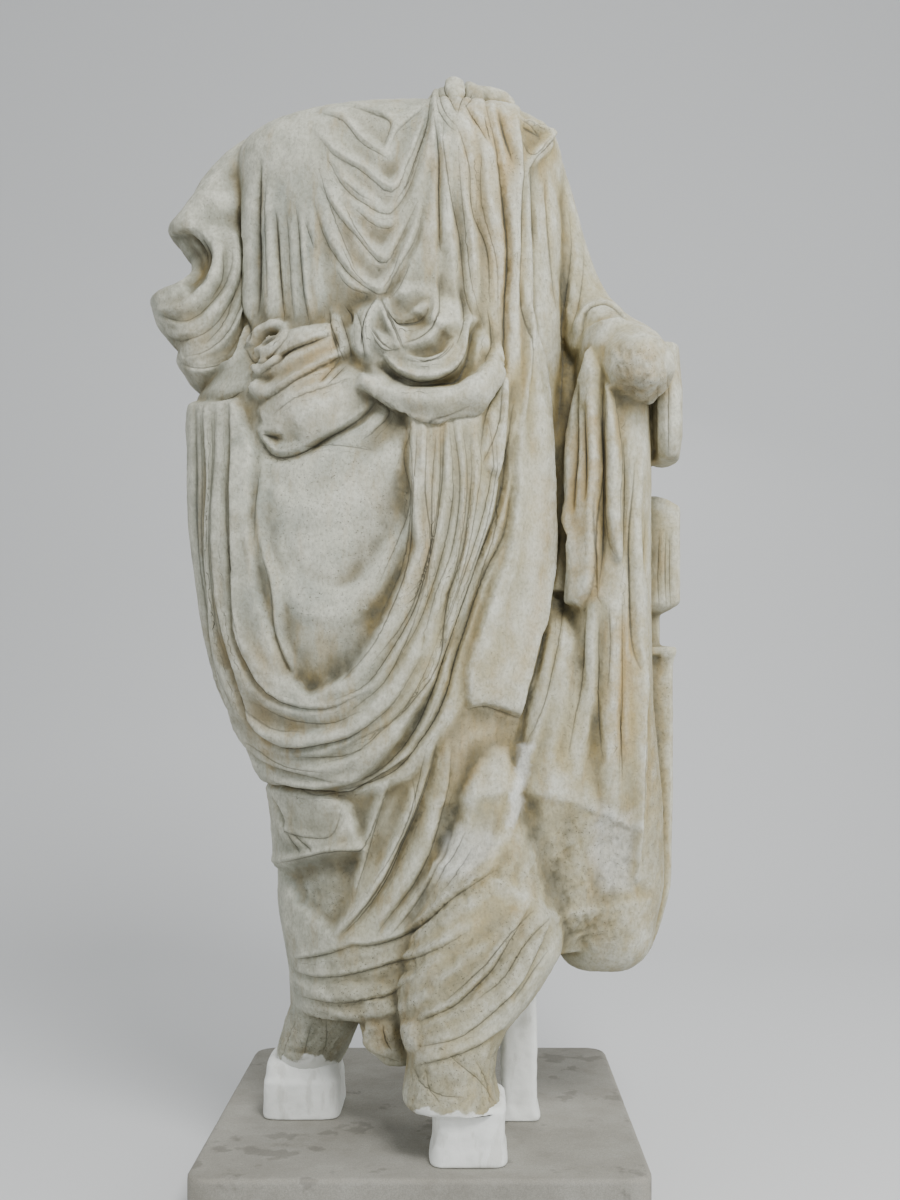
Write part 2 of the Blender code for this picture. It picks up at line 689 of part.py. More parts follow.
def block_out():
    """The figure's masses and rolls of cloth, fused into one skin."""
    bm = bmesh.new()
    for levels in (TRUNK, RIGHT_LEG, LEFT_LEG, HANGING_POINT, ARM_FALL, ARM_WEB, OUTER_FALL, SLEEVE, UMBO):
        stacked_form(bm, levels)
    stacked_form(bm, SIDE_WEB, WEB_SQUARENESS)
    for levels in (PIER_PANEL, PIER_FOOT, PIER_WEB):
        stacked_form(bm, levels, PIER_SQUARENESS)
    limb(bm, RIGHT_ARM)
    limb(bm, LEFT_ARM)
    limb(bm, SHOULDER_KNOT)
    limb(bm, SHOULDER_ROLL)
    skin = Surface(bm)
    for proud, stations in ROLLS:
        lay_roll(bm, skin, proud, stations)
    mesh = bpy.data.meshes.new("block_out")
    bm.to_mesh(mesh)
    bm.free()
    fuse = ("REMESH", {"mode": "VOXEL", "voxel_size": BLOCK_VOXEL})
    ease = ("SMOOTH", {"factor": 0.5, "iterations": SMOOTHING_PASSES})
    return mesh_after(mesh, fuse, ease)


def plain_material(name, colour, roughness):
    material = bpy.data.materials.new(name)
    material.use_nodes = True
    shader = material.node_tree.nodes["Principled BSDF"]
    shader.inputs["Base Color"].default_value = colour
    shader.inputs["Roughness"].default_value = roughness
    shader.inputs["Metallic"].default_value = 0.0
    return material


def node(name, mesh, material, collection):
    made = bpy.data.objects.new(name, mesh)
    mesh.materials.clear()
    mesh.materials.append(material)
    collection.objects.link(made)
    return made


def cast_mesh(name, levels):
    """A cast block: rounded rectangles through the levels, each a height, a middle, a width and a depth."""
    bm = bmesh.new()
    bmesh.ops.create_circle(bm, cap_ends=True, segments=28, radius=1)
    top = list(bm.faces)[0]
    turns = [math.atan2(vert.co.y, vert.co.x) for vert in top.verts]
    for number, (height, middle, width, depth) in enumerate(levels):
        if number:
            top = bmesh.ops.extrude_discrete_faces(bm, faces=[top])["faces"][0]
        for vert, turn in zip(top.verts, turns):
            across = math.copysign(abs(math.cos(turn)) ** (2 / PLASTER_SQUARENESS), math.cos(turn))
            deep = math.copysign(abs(math.sin(turn)) ** (2 / PLASTER_SQUARENESS), math.sin(turn))
            vert.co = (middle[0] + across * width / 2, middle[1] + deep * depth / 2, height)
    bmesh.ops.holes_fill(bm, edges=bm.edges)
    bmesh.ops.recalc_face_normals(bm, faces=bm.faces)
    return finished_mesh(bm, name)


def finished_mesh(bm, name):
    mesh = bpy.data.meshes.new(name)
    bm.to_mesh(mesh)
    bm.free()
    return mesh


def slab_mesh():
    bm = bmesh.new()
    bmesh.ops.create_cube(bm, size=1)
    bmesh.ops.scale(bm, vec=(SLAB_WIDTH, SLAB_DEPTH, SLAB_THICKNESS), verts=bm.verts)
    bmesh.ops.translate(bm, vec=(0, 0, SLAB_THICKNESS / 2), verts=bm.verts)
    upright = [edge for edge in bm.edges if abs(edge.verts[0].co.z - edge.verts[1].co.z) > SLAB_THICKNESS / 2]
    bmesh.ops.bevel(bm, geom=upright, offset=SLAB_CORNER, segments=4, profile=0.5, affect="EDGES")
    return finished_mesh(bm, "stone_slab")


def box_cutter(name, near_corner, far_corner, cutters):
    """A box that cuts the marble, between two opposite corners."""
    near_corner, far_corner = Vector(near_corner), Vector(far_corner)
    bm = bmesh.new()
    bmesh.ops.create_cube(bm, size=1)
    bmesh.ops.scale(bm, vec=far_corner - near_corner, verts=bm.verts)
    bmesh.ops.translate(bm, vec=(near_corner + far_corner) / 2, verts=bm.verts)
    box = bpy.data.objects.new(name, finished_mesh(bm, name))
    box.hide_render = True
    box.display_type = "WIRE"
    cutters.objects.link(box)
    return box


def neck_cutter(cutters):
    """The rounded hollow that the broken neck leaves."""
    bm = bmesh.new()
    bmesh.ops.create_icosphere(bm, subdivisions=2, radius=1)
    bmesh.ops.scale(bm, vec=Vector(NECK_REACH) * UNIT, verts=bm.verts)
    bmesh.ops.translate(bm, vec=placed(*NECK_MIDDLE), verts=bm.verts)
    hollow = bpy.data.objects.new("neck_break", finished_mesh(bm, "neck_break"))
    hollow.hide_render = True
    hollow.display_type = "WIRE"
    cutters.objects.link(hollow)
    return hollow


def cut_with(target, cutter):
    cut = target.modifiers.new(cutter.name, "BOOLEAN")
    cut.operation = "DIFFERENCE"
    cut.solver = "EXACT"
    cut.object = cutter


def main():
    for old in list(bpy.data.objects):
        bpy.data.objects.remove(old)
    collection = bpy.data.collections.new("togate_statue")
    cutters = bpy.data.collections.new("cutters")
    for made in (collection, cutters):
        bpy.context.scene.collection.children.link(made)

    mesh = block_out()
    carve(mesh)
    marble = node("marble_figure", mesh, plain_material("weathered_marble", MARBLE_COLOUR, 0.75), collection)
    mesh.calc_loop_triangles()
    thin = marble.modifiers.new("thin", "DECIMATE")
    thin.ratio = MARBLE_TRIANGLES / len(mesh.loop_triangles)

    top = SLAB_THICKNESS
    middles = (BLOCK_MIDDLE, FOOT_MIDDLE, PROP_MIDDLE)
    block, foot, prop = (placed(column, FLOOR_ROW, depth) for column, depth in middles)
    legs_part = placed(LEG_PARTING, FLOOR_ROW)
    low, high = placed(0, FLOOR_ROW, -REACH), placed(DRAWN_HEIGHT, FLOOR_ROW, REACH)
    seats = (
        ("leg_seat", (low.x, low.y, 0), (legs_part.x, high.y, top + BLOCK_SEAT)),
        ("foot_seat", (legs_part.x, low.y, 0), (high.x, foot.y + FOOT_DEPTH, top + FOOT_SEAT)),
        ("prop_seat", (prop.x - PROP_WIDTH / 2 - PROP_MARGIN, prop.y - PROP_DEPTH / 2 - PROP_MARGIN, 0),
         (high.x, high.y, top + PROP_SEAT)),
    )
    for name, near_corner, far_corner in seats:
        cut_with(marble, box_cutter(name, near_corner, far_corner, cutters))
    cut_with(marble, neck_cutter(cutters))

    plaster = plain_material("plaster", PLASTER_COLOUR, 0.9)
    low = top + JOINT_GAP
    node("right_foot_plaster", cast_mesh("right_foot_plaster", (
        (low, block, BLOCK_WIDTH, BLOCK_DEPTH),
        (top + BLOCK_SHOULDER, block, BLOCK_WIDTH - BLOCK_DRAFT, BLOCK_DEPTH - BLOCK_DRAFT),
        (top + BLOCK_SEAT - JOINT_GAP, block, BLOCK_WIDTH - BLOCK_SMEAR, BLOCK_DEPTH - BLOCK_SMEAR),
    )), plaster, collection)
    node("left_foot_plaster", cast_mesh("left_foot_plaster", (
        (low, foot, FOOT_WIDTH, FOOT_DEPTH),
        (top + FOOT_SEAT / 2, foot, FOOT_WIDTH - FOOT_FLARE, FOOT_DEPTH - FOOT_FLARE),
        (top + FOOT_SEAT - JOINT_GAP, foot, FOOT_WIDTH - FOOT_FLARE / 2, FOOT_DEPTH - FOOT_FLARE),
    )), plaster.copy(), collection)
    node("rear_plaster_prop", cast_mesh("rear_plaster_prop", (
        (low, prop, PROP_WIDTH + PROP_FLARE, PROP_DEPTH + PROP_FLARE),
        (top + PROP_FLARE_HEIGHT, prop, PROP_WIDTH, PROP_DEPTH),
        (top + PROP_SEAT - JOINT_GAP, prop, PROP_WIDTH, PROP_DEPTH),
    )), plaster.copy(), collection)

    slab = node("stone_slab", slab_mesh(), plain_material("slab_stone", SLAB_COLOUR, 0.9), collection)
    arris = slab.modifiers.new("arris", "BEVEL")
    arris.width = SLAB_ARRIS
    arris.segments = 2
    arris.limit_method = "ANGLE"
    arris.angle_limit = math.radians(40)


main()
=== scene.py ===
# %% [markdown]
# A Roman statue carved from one block of marble: a standing man in a toga whose head and forearms
# are lost. It stands on a slab of grey stone, held up by three pieces of modern plaster. This
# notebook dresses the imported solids: it carves the marble finely, works the plaster and the slab,
# mixes the finishes and sets up the floor, the light and the camera.

import math

import bmesh
import bpy
import numpy as np
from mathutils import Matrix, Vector
from mathutils.bvhtree import BVHTree


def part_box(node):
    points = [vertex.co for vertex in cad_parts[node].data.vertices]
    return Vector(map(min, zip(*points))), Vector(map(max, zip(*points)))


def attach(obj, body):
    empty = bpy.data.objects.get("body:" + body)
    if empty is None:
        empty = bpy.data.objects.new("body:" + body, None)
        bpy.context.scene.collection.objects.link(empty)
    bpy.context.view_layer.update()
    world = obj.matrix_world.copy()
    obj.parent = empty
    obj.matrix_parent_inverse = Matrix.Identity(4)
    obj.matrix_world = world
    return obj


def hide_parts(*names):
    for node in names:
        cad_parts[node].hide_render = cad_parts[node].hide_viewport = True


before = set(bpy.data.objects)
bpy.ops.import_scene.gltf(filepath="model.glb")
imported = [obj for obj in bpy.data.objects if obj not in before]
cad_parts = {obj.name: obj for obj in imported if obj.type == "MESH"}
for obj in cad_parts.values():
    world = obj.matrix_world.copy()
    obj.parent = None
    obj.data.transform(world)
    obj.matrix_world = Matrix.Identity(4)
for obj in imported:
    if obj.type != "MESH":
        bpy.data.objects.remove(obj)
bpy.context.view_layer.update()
print("solids:", ", ".join(sorted(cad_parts)))

# %% [markdown]
# The figure is free form, so it is drawn on squared paper as the viewer sees it. Columns run to
# the right, rows run down and depths run away from the viewer. One function turns a drawn place
# into metres, and another gives the place at some depth that the eye sees at a column and row.
# Carving can then be drawn where it shows, which is how a carver marks a block too.

# %% The squared paper
FIGURE_HEIGHT = 1.70
SLAB_THICKNESS = 0.10
FIGURE_FORWARD = 0.036
DRAWN_HEIGHT = 1030
FLOOR_ROW = 1110
MIDDLE_COLUMN = 425
EYE_COLUMN, EYE_ROW, EYE_DISTANCE = 463, 686, 1300
UNIT = FIGURE_HEIGHT / DRAWN_HEIGHT


def placed(column, row, depth=0.0):
    """A point of the drawing, in metres."""
    return Vector(
        (
            (column - MIDDLE_COLUMN) * UNIT,
            depth * UNIT - FIGURE_FORWARD,
            SLAB_THICKNESS + (FLOOR_ROW - row) * UNIT,
        )
    )


EYE = placed(EYE_COLUMN, EYE_ROW, -EYE_DISTANCE)


def nearness(depth):
    """How much larger a thing at this depth is really than it is drawn."""
    return (EYE_DISTANCE + depth) / EYE_DISTANCE


def seen(column, row, depth):
    """The point at this depth that the eye sees at this column and row."""
    return EYE + (placed(column, row) - EYE) * nearness(depth)


print(f"one square of the drawing is {UNIT * 1000:.2f} mm")

# %% [markdown]
# A statue starts as masses: the trunk, the legs under the skirt, the arms, the cloth that hangs
# from the forearm and the pier behind it. Each mass is a sphere whose rings are moved onto levels
# that were read from the drawing. Arms and rolls of cloth are curves with a bevel. They overlap
# freely, because a voxel remesh then fuses them into one skin, as they were one block of stone.

# %% Masses of the figure
# Each level is a row, left and right columns, front and back depths.
TRUNK = (
    (116, 352, 506, -36, 40),
    (122, 316, 526, -58, 60),
    (134, 276, 548, -78, 80),
    (152, 242, 560, -94, 96),
    (184, 236, 564, -104, 104),
    (230, 245, 560, -108, 102),
    (290, 250, 560, -110, 94),
    (340, 244, 562, -112, 96),
    (385, 220, 562, -116, 102),
    (399, 200, 562, -117, 103),
    (420, 196, 562, -118, 104),
    (480, 197, 562, -124, 106),
    (540, 201, 560, -126, 106),
    (620, 213, 556, -124, 104),
    (690, 231, 552, -118, 100),
    (745, 256, 548, -108, 96),
    (785, 274, 545, -98, 92),
    (840, 279, 545, -92, 90),
    (900, 279, 552, -92, 88),
    (950, 288, 556, -94, 86),
    (985, 293, 532, -92, 78),
    (1012, 302, 470, -84, 66),
)
RIGHT_LEG = (
    (950, 290, 400, -70, 66),
    (1000, 292, 372, -54, 66),
    (1024, 284, 358, -44, 62),
    (1046, 278, 349, -33, 56),
    (1062, 279, 340, -23, 46),
    (1075, 280, 334, -18, 40),
    (1100, 280, 332, -16, 36),
)
LEFT_LEG = (
    (740, 452, 520, -96, 50),
    (800, 436, 540, -106, 50),
    (860, 420, 556, -116, 56),
    (905, 410, 566, -128, 58),
    (945, 402, 562, -142, 50),
    (985, 398, 538, -154, 36),
    (1020, 401, 508, -162, 8),
    (1045, 408, 497, -166, -20),
    (1070, 406, 494, -166, -50),
    (1088, 402, 498, -166, -66),
    (1101, 403, 501, -166, -70),
    (1109, 422, 504, -165, -74),
    (1140, 428, 507, -164, -76),
)
HANGING_POINT = (
    (990, 350, 424, -96, -10),
    (1025, 361, 418, -88, -20),
    (1046, 366, 417, -84, -30),
    (1062, 386, 414, -80, -40),
)
ARM_FALL = (
    (334, 584, 622, -90, 60),
    (352, 574, 640, -98, 70),
    (400, 568, 646, -100, 76),
    (470, 560, 648, -96, 80),
    (600, 556, 648, -92, 84),
    (700, 548, 650, -86, 88),
    (800, 538, 660, -78, 90),
    (880, 536, 662, -74, 90),
    (925, 546, 652, -70, 84),
    (950, 556, 648, -60, 78),
    (966, 572, 622, -46, 60),
)
SIDE_WEB = (
    (500, 520, 600, 10, 60),
    (560, 508, 602, -20, 64),
    (640, 500, 604, -80, 68),
    (700, 490, 608, -88, 70),
    (820, 470, 610, -92, 70),
    (900, 470, 606, -88, 70),
    (945, 490, 590, -66, 60),
)
ARM_WEB = (
    (190, 520, 560, -30, 60),
    (260, 530, 572, -10, 66),
    (340, 530, 600, -20, 70),
    (400, 530, 600, -52, 72),
    (480, 530, 600, -60, 74),
    (600, 520, 600, -62, 74),
)
OUTER_FALL = (
    (352, 642, 676, -80, 10),
    (400, 647, 680, -80, 10),
    (440, 650, 680, -76, 6),
    (464, 654, 677, -66, -4),
)
PIER_PANEL = (
    (500, 634, 650, 6, 80),
    (506, 634, 666, 0, 84),
    (512, 634, 675, 0, 84),
    (606, 634, 675, 0, 84),
    (616, 634, 657, 8, 78),
)
PIER_FOOT = (
    (645, 630, 668, -2, 82),
    (651, 630, 673, -8, 86),
    (662, 630, 668, 0, 82),
    (790, 630, 668, 0, 84),
    (880, 626, 666, 0, 84),
    (915, 620, 658, 6, 78),
    (948, 610, 647, 14, 70),
)
PIER_WEB = (
    (590, 630, 656, 14, 70),
    (670, 630, 657, 14, 70),
)
SLEEVE = (
    (170, 226, 262, -30, 50),
    (196, 202, 262, -44, 50),
    (213, 189, 262, -50, 48),
    (224, 179, 262, -50, 44),
    (233, 169, 262, -48, 40),
    (240, 171, 262, -50, 40),
    (247, 179, 262, -54, 42),
    (258, 186, 262, -56, 44),
    (267, 194, 262, -58, 46),
    (282, 195, 262, -60, 48),
    (290, 187, 262, -62, 50),
    (298, 172, 262, -64, 50),
    (304, 152, 262, -64, 50),
    (315, 155, 262, -64, 52),
    (330, 159, 262, -64, 52),
    (344, 171, 262, -64, 50),
    (357, 183, 262, -64, 48),
    (366, 178, 262, -64, 46),
    (376, 185, 262, -64, 44),
    (390, 194, 262, -62, 38),
    (399, 208, 258, -58, 30),
    (404, 224, 246, -50, 10),
)
UMBO = (
    (292, 374, 446, -112, -60),
    (318, 338, 474, -121, -60),
    (350, 332, 492, -127, -60),
    (376, 352, 494, -129, -60),
    (398, 384, 482, -127, -60),
    (412, 406, 462, -118, -60),
)

# Limbs and the folds bunched on the shoulder are stations: column, row, depth and radius.
RIGHT_ARM = (
    (286, 172, 0, 44),
    (256, 188, -2, 44),
    (228, 204, -8, 36),
    (206, 222, -14, 24),
    (184, 233, -18, 10),
)
LEFT_ARM = (
    (526, 152, 0, 32),
    (543, 210, 0, 33),
    (555, 258, 0, 34),
    (573, 305, -2, 35),
    (598, 340, -24, 37),
    (628, 360, -70, 38),
    (641, 369, -104, 36),
    (645, 376, -120, 25),
    (646, 380, -128, 9),
)
SHOULDER_FOLDS = (
    ((454, 89, -28, 9), (454, 102, -44, 10), (456, 118, -62, 7)),
    ((434, 98, -26, 6), (433, 110, -44, 8), (428, 128, -64, 7)),
    ((443, 97, -26, 7), (446, 111, -44, 8), (454, 130, -66, 6)),
    ((466, 94, -20, 9), (477, 100, -26, 10), (490, 103, -28, 11), (502, 109, -30, 11), (512, 124, -44, 8)),
)

# Rolls lie on the masses: how far they stand proud, in radii, then columns, rows and radii.
ROLLS = (
    (-0.2, ((262, 354, 10), (284, 346, 14), (310, 338, 13), (334, 332, 9))),
    (0.1, ((252, 346, 5), (255, 338, 6), (266, 329, 6), (279, 326, 6), (287, 330, 5), (280, 340, 5),
           (268, 350, 5), (257, 352, 5))),
    (-0.1, ((258, 370, 8), (284, 368, 10), (308, 357, 9), (334, 343, 6))),
    (0.0, ((253, 386, 7), (268, 392, 9), (290, 381, 9), (318, 364, 8), (344, 350, 6))),
    (-0.55, ((258, 440, 8), (268, 432, 20), (288, 418, 34), (316, 402, 38), (346, 388, 30), (372, 380, 18),
             (388, 380, 10))),
    (-0.5, ((260, 420, 12), (282, 407, 26), (306, 393, 28), (334, 379, 21), (356, 373, 12))),
    (-0.7, ((338, 315, 9), (342, 335, 13), (346, 357, 10))),
    (-0.7, ((357, 312, 7), (359, 330, 10), (357, 350, 8))),
    (-0.5, ((377, 302, 6), (368, 320, 10), (363, 338, 11), (365, 356, 8))),
    (-0.5, ((382, 301, 6), (391, 316, 10), (398, 332, 10), (402, 348, 7))),
    (-0.5, ((370, 330, 6), (380, 341, 10), (392, 347, 8))),
    (-0.3, ((383, 302, 5), (396, 311, 7), (410, 314, 7), (426, 306, 5))),
    (-0.75, ((404, 346, 9), (420, 340, 13), (434, 329, 14), (442, 310, 11), (445, 284, 8), (448, 248, 4))),
    (-0.75, ((404, 360, 11), (424, 367, 16), (444, 361, 16), (457, 345, 13), (463, 326, 9))),
    (-0.8, ((380, 366, 12), (402, 379, 18), (430, 382, 18), (456, 372, 17), (471, 350, 14), (473, 322, 9))),
    (-0.45, ((354, 385, 4), (372, 388, 8), (396, 395, 13), (424, 402, 14), (452, 399, 14), (474, 388, 13),
             (487, 369, 10), (494, 348, 6))),
    (-0.55, ((520, 121, 4), (532, 123, 7), (545, 131, 7), (551, 138, 4))),
    (-0.55, ((552, 136, 4), (546, 148, 7), (534, 158, 6), (525, 172, 3))),
)

# %% Build the masses
CLOTH_SQUARENESS = 2.5
WEB_SQUARENESS = 3
PIER_SQUARENESS = 9
RING_POINTS = 64
RINGS = 96
ROUTE_STEPS = 28


def even_route(points, steps=ROUTE_STEPS):
    """Evenly spaced points on a smooth curve through the given ones."""
    points = np.array(points, float)
    before, after = 2 * points[0] - points[1], 2 * points[-1] - points[-2]
    held = np.vstack([before, points, after])
    fine = []
    for start, a, b, end in zip(held, held[1:], held[2:], held[3:]):
        for t in np.linspace(0, 1, 9)[:-1]:
            straight = 2 * a + (b - start) * t
            bend = (2 * start - 5 * a + 4 * b - end) * t**2
            twist = (3 * a - start - 3 * b + end) * t**3
            fine.append(0.5 * (straight + bend + twist))
    fine = np.array([*fine, points[-1]])
    run = np.concatenate([[0], np.cumsum(np.linalg.norm(np.diff(fine[:, :2], axis=0), axis=1))])
    stations = np.linspace(0, run[-1], steps)
    return np.column_stack([np.interp(stations, run, column) for column in fine.T])


def stacked_form(bm, levels, squareness=CLOTH_SQUARENESS):
    """A closed form through the levels, from a sphere whose rings are moved onto them."""
    levels = np.array(levels, float)
    rows = np.linspace(levels[0, 0], levels[-1, 0], RINGS + 1)
    table = np.column_stack([np.interp(rows, levels[:, 0], side) for side in levels[:, 1:].T])
    for _ in range(2):
        table[1:-1] = (table[:-2] + 2 * table[1:-1] + table[2:]) / 4
    made = bmesh.ops.create_uvsphere(bm, u_segments=RING_POINTS, v_segments=RINGS, radius=1)
    for vert in made["verts"]:
        ring = round(math.acos(max(-1, min(1, vert.co.z))) / math.pi * RINGS)
        reach = 0.0 if ring in (0, RINGS) else 1.0
        left, right, front, back = table[ring]
        middle = (front + back) / 2
        turn = math.atan2(vert.co.y, vert.co.x)
        across = reach * math.copysign(abs(math.cos(turn)) ** (2 / squareness), math.cos(turn))
        deep = reach * math.copysign(abs(math.sin(turn)) ** (2 / squareness), math.sin(turn))
        centre = seen((left + right) / 2, rows[ring], middle)
        centre.x += across * (right - left) / 2 * UNIT * nearness(middle)
        centre.y += deep * (back - front) / 2 * UNIT
        vert.co = centre


def swept_roll(bm, centres, radii):
    """A tapered round roll along the centres, from a curve with a bevel."""
    curve = bpy.data.curves.new("roll", "CURVE")
    curve.dimensions = "3D"
    curve.bevel_depth = UNIT
    curve.bevel_resolution = 4
    curve.use_fill_caps = True
    spline = curve.splines.new("POLY")
    spline.points.add(len(centres) - 1)
    for point, centre, radius in zip(spline.points, centres, radii):
        point.co = (*centre, 1)
        point.radius = radius
    holder = bpy.data.objects.new("roll", curve)
    mesh = bpy.data.meshes.new_from_object(holder)
    bpy.data.objects.remove(holder)
    bpy.data.curves.remove(curve)
    bm.from_mesh(mesh)
    bpy.data.meshes.remove(mesh)


def limb(bm, stations):
    """A round limb whose stations are seen at their columns and rows."""
    route = even_route(stations)
    swept_roll(bm, [seen(*station[:3]) for station in route], [r * nearness(d) for _, _, d, r in route])


def lay_roll(bm, skin, proud, stations):
    """A roll of cloth on the skin where the eye meets it, lifted by its share of its radius."""
    route = even_route(stations)
    centres, radii = [], []
    for column, row, radius in route:
        towards = placed(column, row) - EYE
        point, normal, _, _ = skin.ray_cast(EYE, towards.normalized())
        if point is None:
            point, normal, _, _ = skin.find_nearest(placed(column, row))
        centres.append(point + normal * (proud * radius * UNIT))
        radii.append(radius)
    swept_roll(bm, centres, radii)


masses = bmesh.new()
for levels in (TRUNK, RIGHT_LEG, LEFT_LEG, HANGING_POINT, ARM_FALL, ARM_WEB, OUTER_FALL, SLEEVE, UMBO):
    stacked_form(masses, levels)
stacked_form(masses, SIDE_WEB, WEB_SQUARENESS)
for levels in (PIER_PANEL, PIER_FOOT, PIER_WEB):
    stacked_form(masses, levels, PIER_SQUARENESS)
for stations in (RIGHT_ARM, LEFT_ARM, *SHOULDER_FOLDS):
    limb(masses, stations)
skin = BVHTree.FromBMesh(masses)
for proud, stations in ROLLS:
    lay_roll(masses, skin, proud, stations)
print(len(masses.faces), "faces in the overlapping masses")


# %% Fuse them into one skin
FUSE_VOXEL = 0.0029
FUSE_PASSES = 7


def finished_mesh(bm, name):
    """A mesh from the bmesh, which is then let go."""
    mesh = bpy.data.meshes.new(name)
    bm.to_mesh(mesh)
    bm.free()
    return mesh


def mesh_after(mesh, *settings):
    """A new mesh, after modifiers given as a kind and its settings."""
    holder = bpy.data.objects.new("holder", mesh)
    bpy.context.scene.collection.objects.link(holder)
    for kind, values in settings:
        modifier = holder.modifiers.new(kind, kind)
        for name, value in values.items():
            setattr(modifier, name, value)
    bpy.context.view_layer.update()
    graph = bpy.context.evaluated_depsgraph_get()
    result = bpy.data.meshes.new_from_object(holder.evaluated_get(graph))
    bpy.data.objects.remove(holder)
    bpy.data.meshes.remove(mesh)
    return result


figure = mesh_after(
    finished_mesh(masses, "marble_figure"),
    ("REMESH", {"mode": "VOXEL", "voxel_size": FUSE_VOXEL}),
    ("SMOOTH", {"factor": 0.5, "iterations": FUSE_PASSES}),
)
print(len(figure.vertices), "points on the fused skin")

# %% [markdown]
# Carved drapery is a few kinds of mark used again and again: a set of rounded folds, a single
# fold, the edge of one layer lying over the next, and a dark line cut with the drill. Each mark is
# a route on the drawing, and every point of the skin that faces the eye is moved along its normal
# by what the marks near it say. This keeps the solid's form and puts relief on top of it.

# %% The skin's points, seen from the front and from behind
def mesh_points(mesh):
    """The mesh's points and their normals, as rows of three."""
    points = np.empty(len(mesh.vertices) * 3, np.float32)
    mesh.vertices.foreach_get("co", points)
    normals = np.empty(len(mesh.vertices) * 3, np.float32)
    mesh.vertex_normals.foreach_get("vector", normals)
    return points.reshape(-1, 3).astype(float), normals.reshape(-1, 3).astype(float)


def move_points(mesh, points):
    mesh.vertices.foreach_set("co", points.astype(np.float32).ravel())
    mesh.update()


def keep(mesh, name, values):
    """Numbers for the points, kept on the mesh under a name."""
    mesh.attributes.new(name, "FLOAT", "POINT").data.foreach_set("value", values.astype(np.float32))


def kept(mesh, name):
    values = np.empty(len(mesh.vertices), np.float32)
    mesh.attributes[name].data.foreach_get("value", values)
    return values.astype(float)


def drawn_place(points):
    """Columns and rows at which the eye sees the points."""
    eye = np.array(EYE)
    share = EYE_DISTANCE * UNIT / (points[:, 1] - eye[1])
    flat = eye + (points - eye) * share[:, None]
    columns = flat[:, 0] / UNIT + MIDDLE_COLUMN
    rows = FLOOR_ROW - (flat[:, 2] - SLAB_THICKNESS) / UNIT
    return np.column_stack([columns, rows])


def flat_place(points):
    """Columns and rows of the points looked at straight through, for the back."""
    columns = points[:, 0] / UNIT + MIDDLE_COLUMN
    rows = FLOOR_ROW - (points[:, 2] - SLAB_THICKNESS) / UNIT
    return np.column_stack([columns, rows])


def neighbour_means(mesh):
    """A function that gives, for values at the points, their mean over each point's neighbours."""
    ends = np.empty(len(mesh.edges) * 2, np.int32)
    mesh.edges.foreach_get("vertices", ends)
    ends = ends.reshape(-1, 2)
    first = np.concatenate([ends[:, 0], ends[:, 1]])
    second = np.concatenate([ends[:, 1], ends[:, 0]])
    count = np.maximum(np.bincount(first, minlength=len(mesh.vertices)), 1)

    def means(values):
        return np.bincount(first, weights=values[second], minlength=len(count)) / count

    return means


def steady_normals(mesh, passes=14):
    """The mesh's normals evened out, so that relief moves out from the broad form and not from itself."""
    _, normals = mesh_points(mesh)
    means = neighbour_means(mesh)
    for _ in range(passes):
        normals = np.column_stack([means(normals[:, axis]) for axis in range(3)])
    return normals / np.linalg.norm(normals, axis=1)[:, None]


def eased(values, low, high):
    """0 at low, 1 at high, with a smooth way between."""
    share = np.clip((values - low) / (high - low), 0, 1)
    return share * share * (3 - 2 * share)


def waves(points, size, seed, count=12):
    """Smooth unevenness between about -1 and 1, with lumps of this size in metres."""
    chance = np.random.default_rng(seed)
    total = np.zeros(len(points))
    for _ in range(count):
        direction = chance.normal(size=3)
        direction *= math.tau / (size * (0.7 + chance.random()) * np.linalg.norm(direction))
        total += np.sin(points @ direction + chance.random() * math.tau)
    return total / math.sqrt(count)


print("squares under the eye:", drawn_place(np.array([EYE + Vector((0, 1, 0))])).round(1))


# %% The kinds of mark
# How much of a mark's height shows along its route, fading at both ends
ENDS = np.sin(np.linspace(0.15, math.pi - 0.15, ROUTE_STEPS)) ** 0.5
# A fold's section: 1 is a ridge with straight sides, 2 is round
CREST = 1.5
# The edge of a layer, in shares of its width: its steep rise, its fall, and the shadow line beside it
LIP_RISE = 9
LIP_START = 0.55
LIP_FALL = 1.4
LIP_BEHIND = 0.06
SHADE_MIDDLE = 0.13
SHADE_HALF = 0.2
# A set of folds is uneven in place, height and lean, by waves that step from fold to fold
UNEVEN_PLACE, PLACE_STEP = 0.30, 2.4
UNEVEN_HEIGHT, HEIGHT_STEP = 0.35, 1.7
UNEVEN_LEAN, LEAN_STEP = 0.45, 2.9
TAPER_STEPS = 5
TAPER_START = 0.1


def beside_route(places, route):
    """How far each place is to the left of the route, looking along it as drawn, and how far along."""
    nearest = np.full(len(places), np.inf)
    side = np.ones(len(places))
    along = np.zeros(len(places))
    for step, (start, end) in enumerate(zip(route, route[1:])):
        run = end - start
        rel = places - start
        t = np.clip(rel @ run / max(run @ run, 1e-9), 0, 1)
        away = np.hypot(rel[:, 0] - t * run[0], rel[:, 1] - t * run[1])
        closer = away < nearest
        nearest[closer] = away[closer]
        along[closer] = step + t[closer]
        side[closer] = np.where(run[1] * rel[closer, 0] > run[0] * rel[closer, 1], 1, -1)
    return nearest * side, along


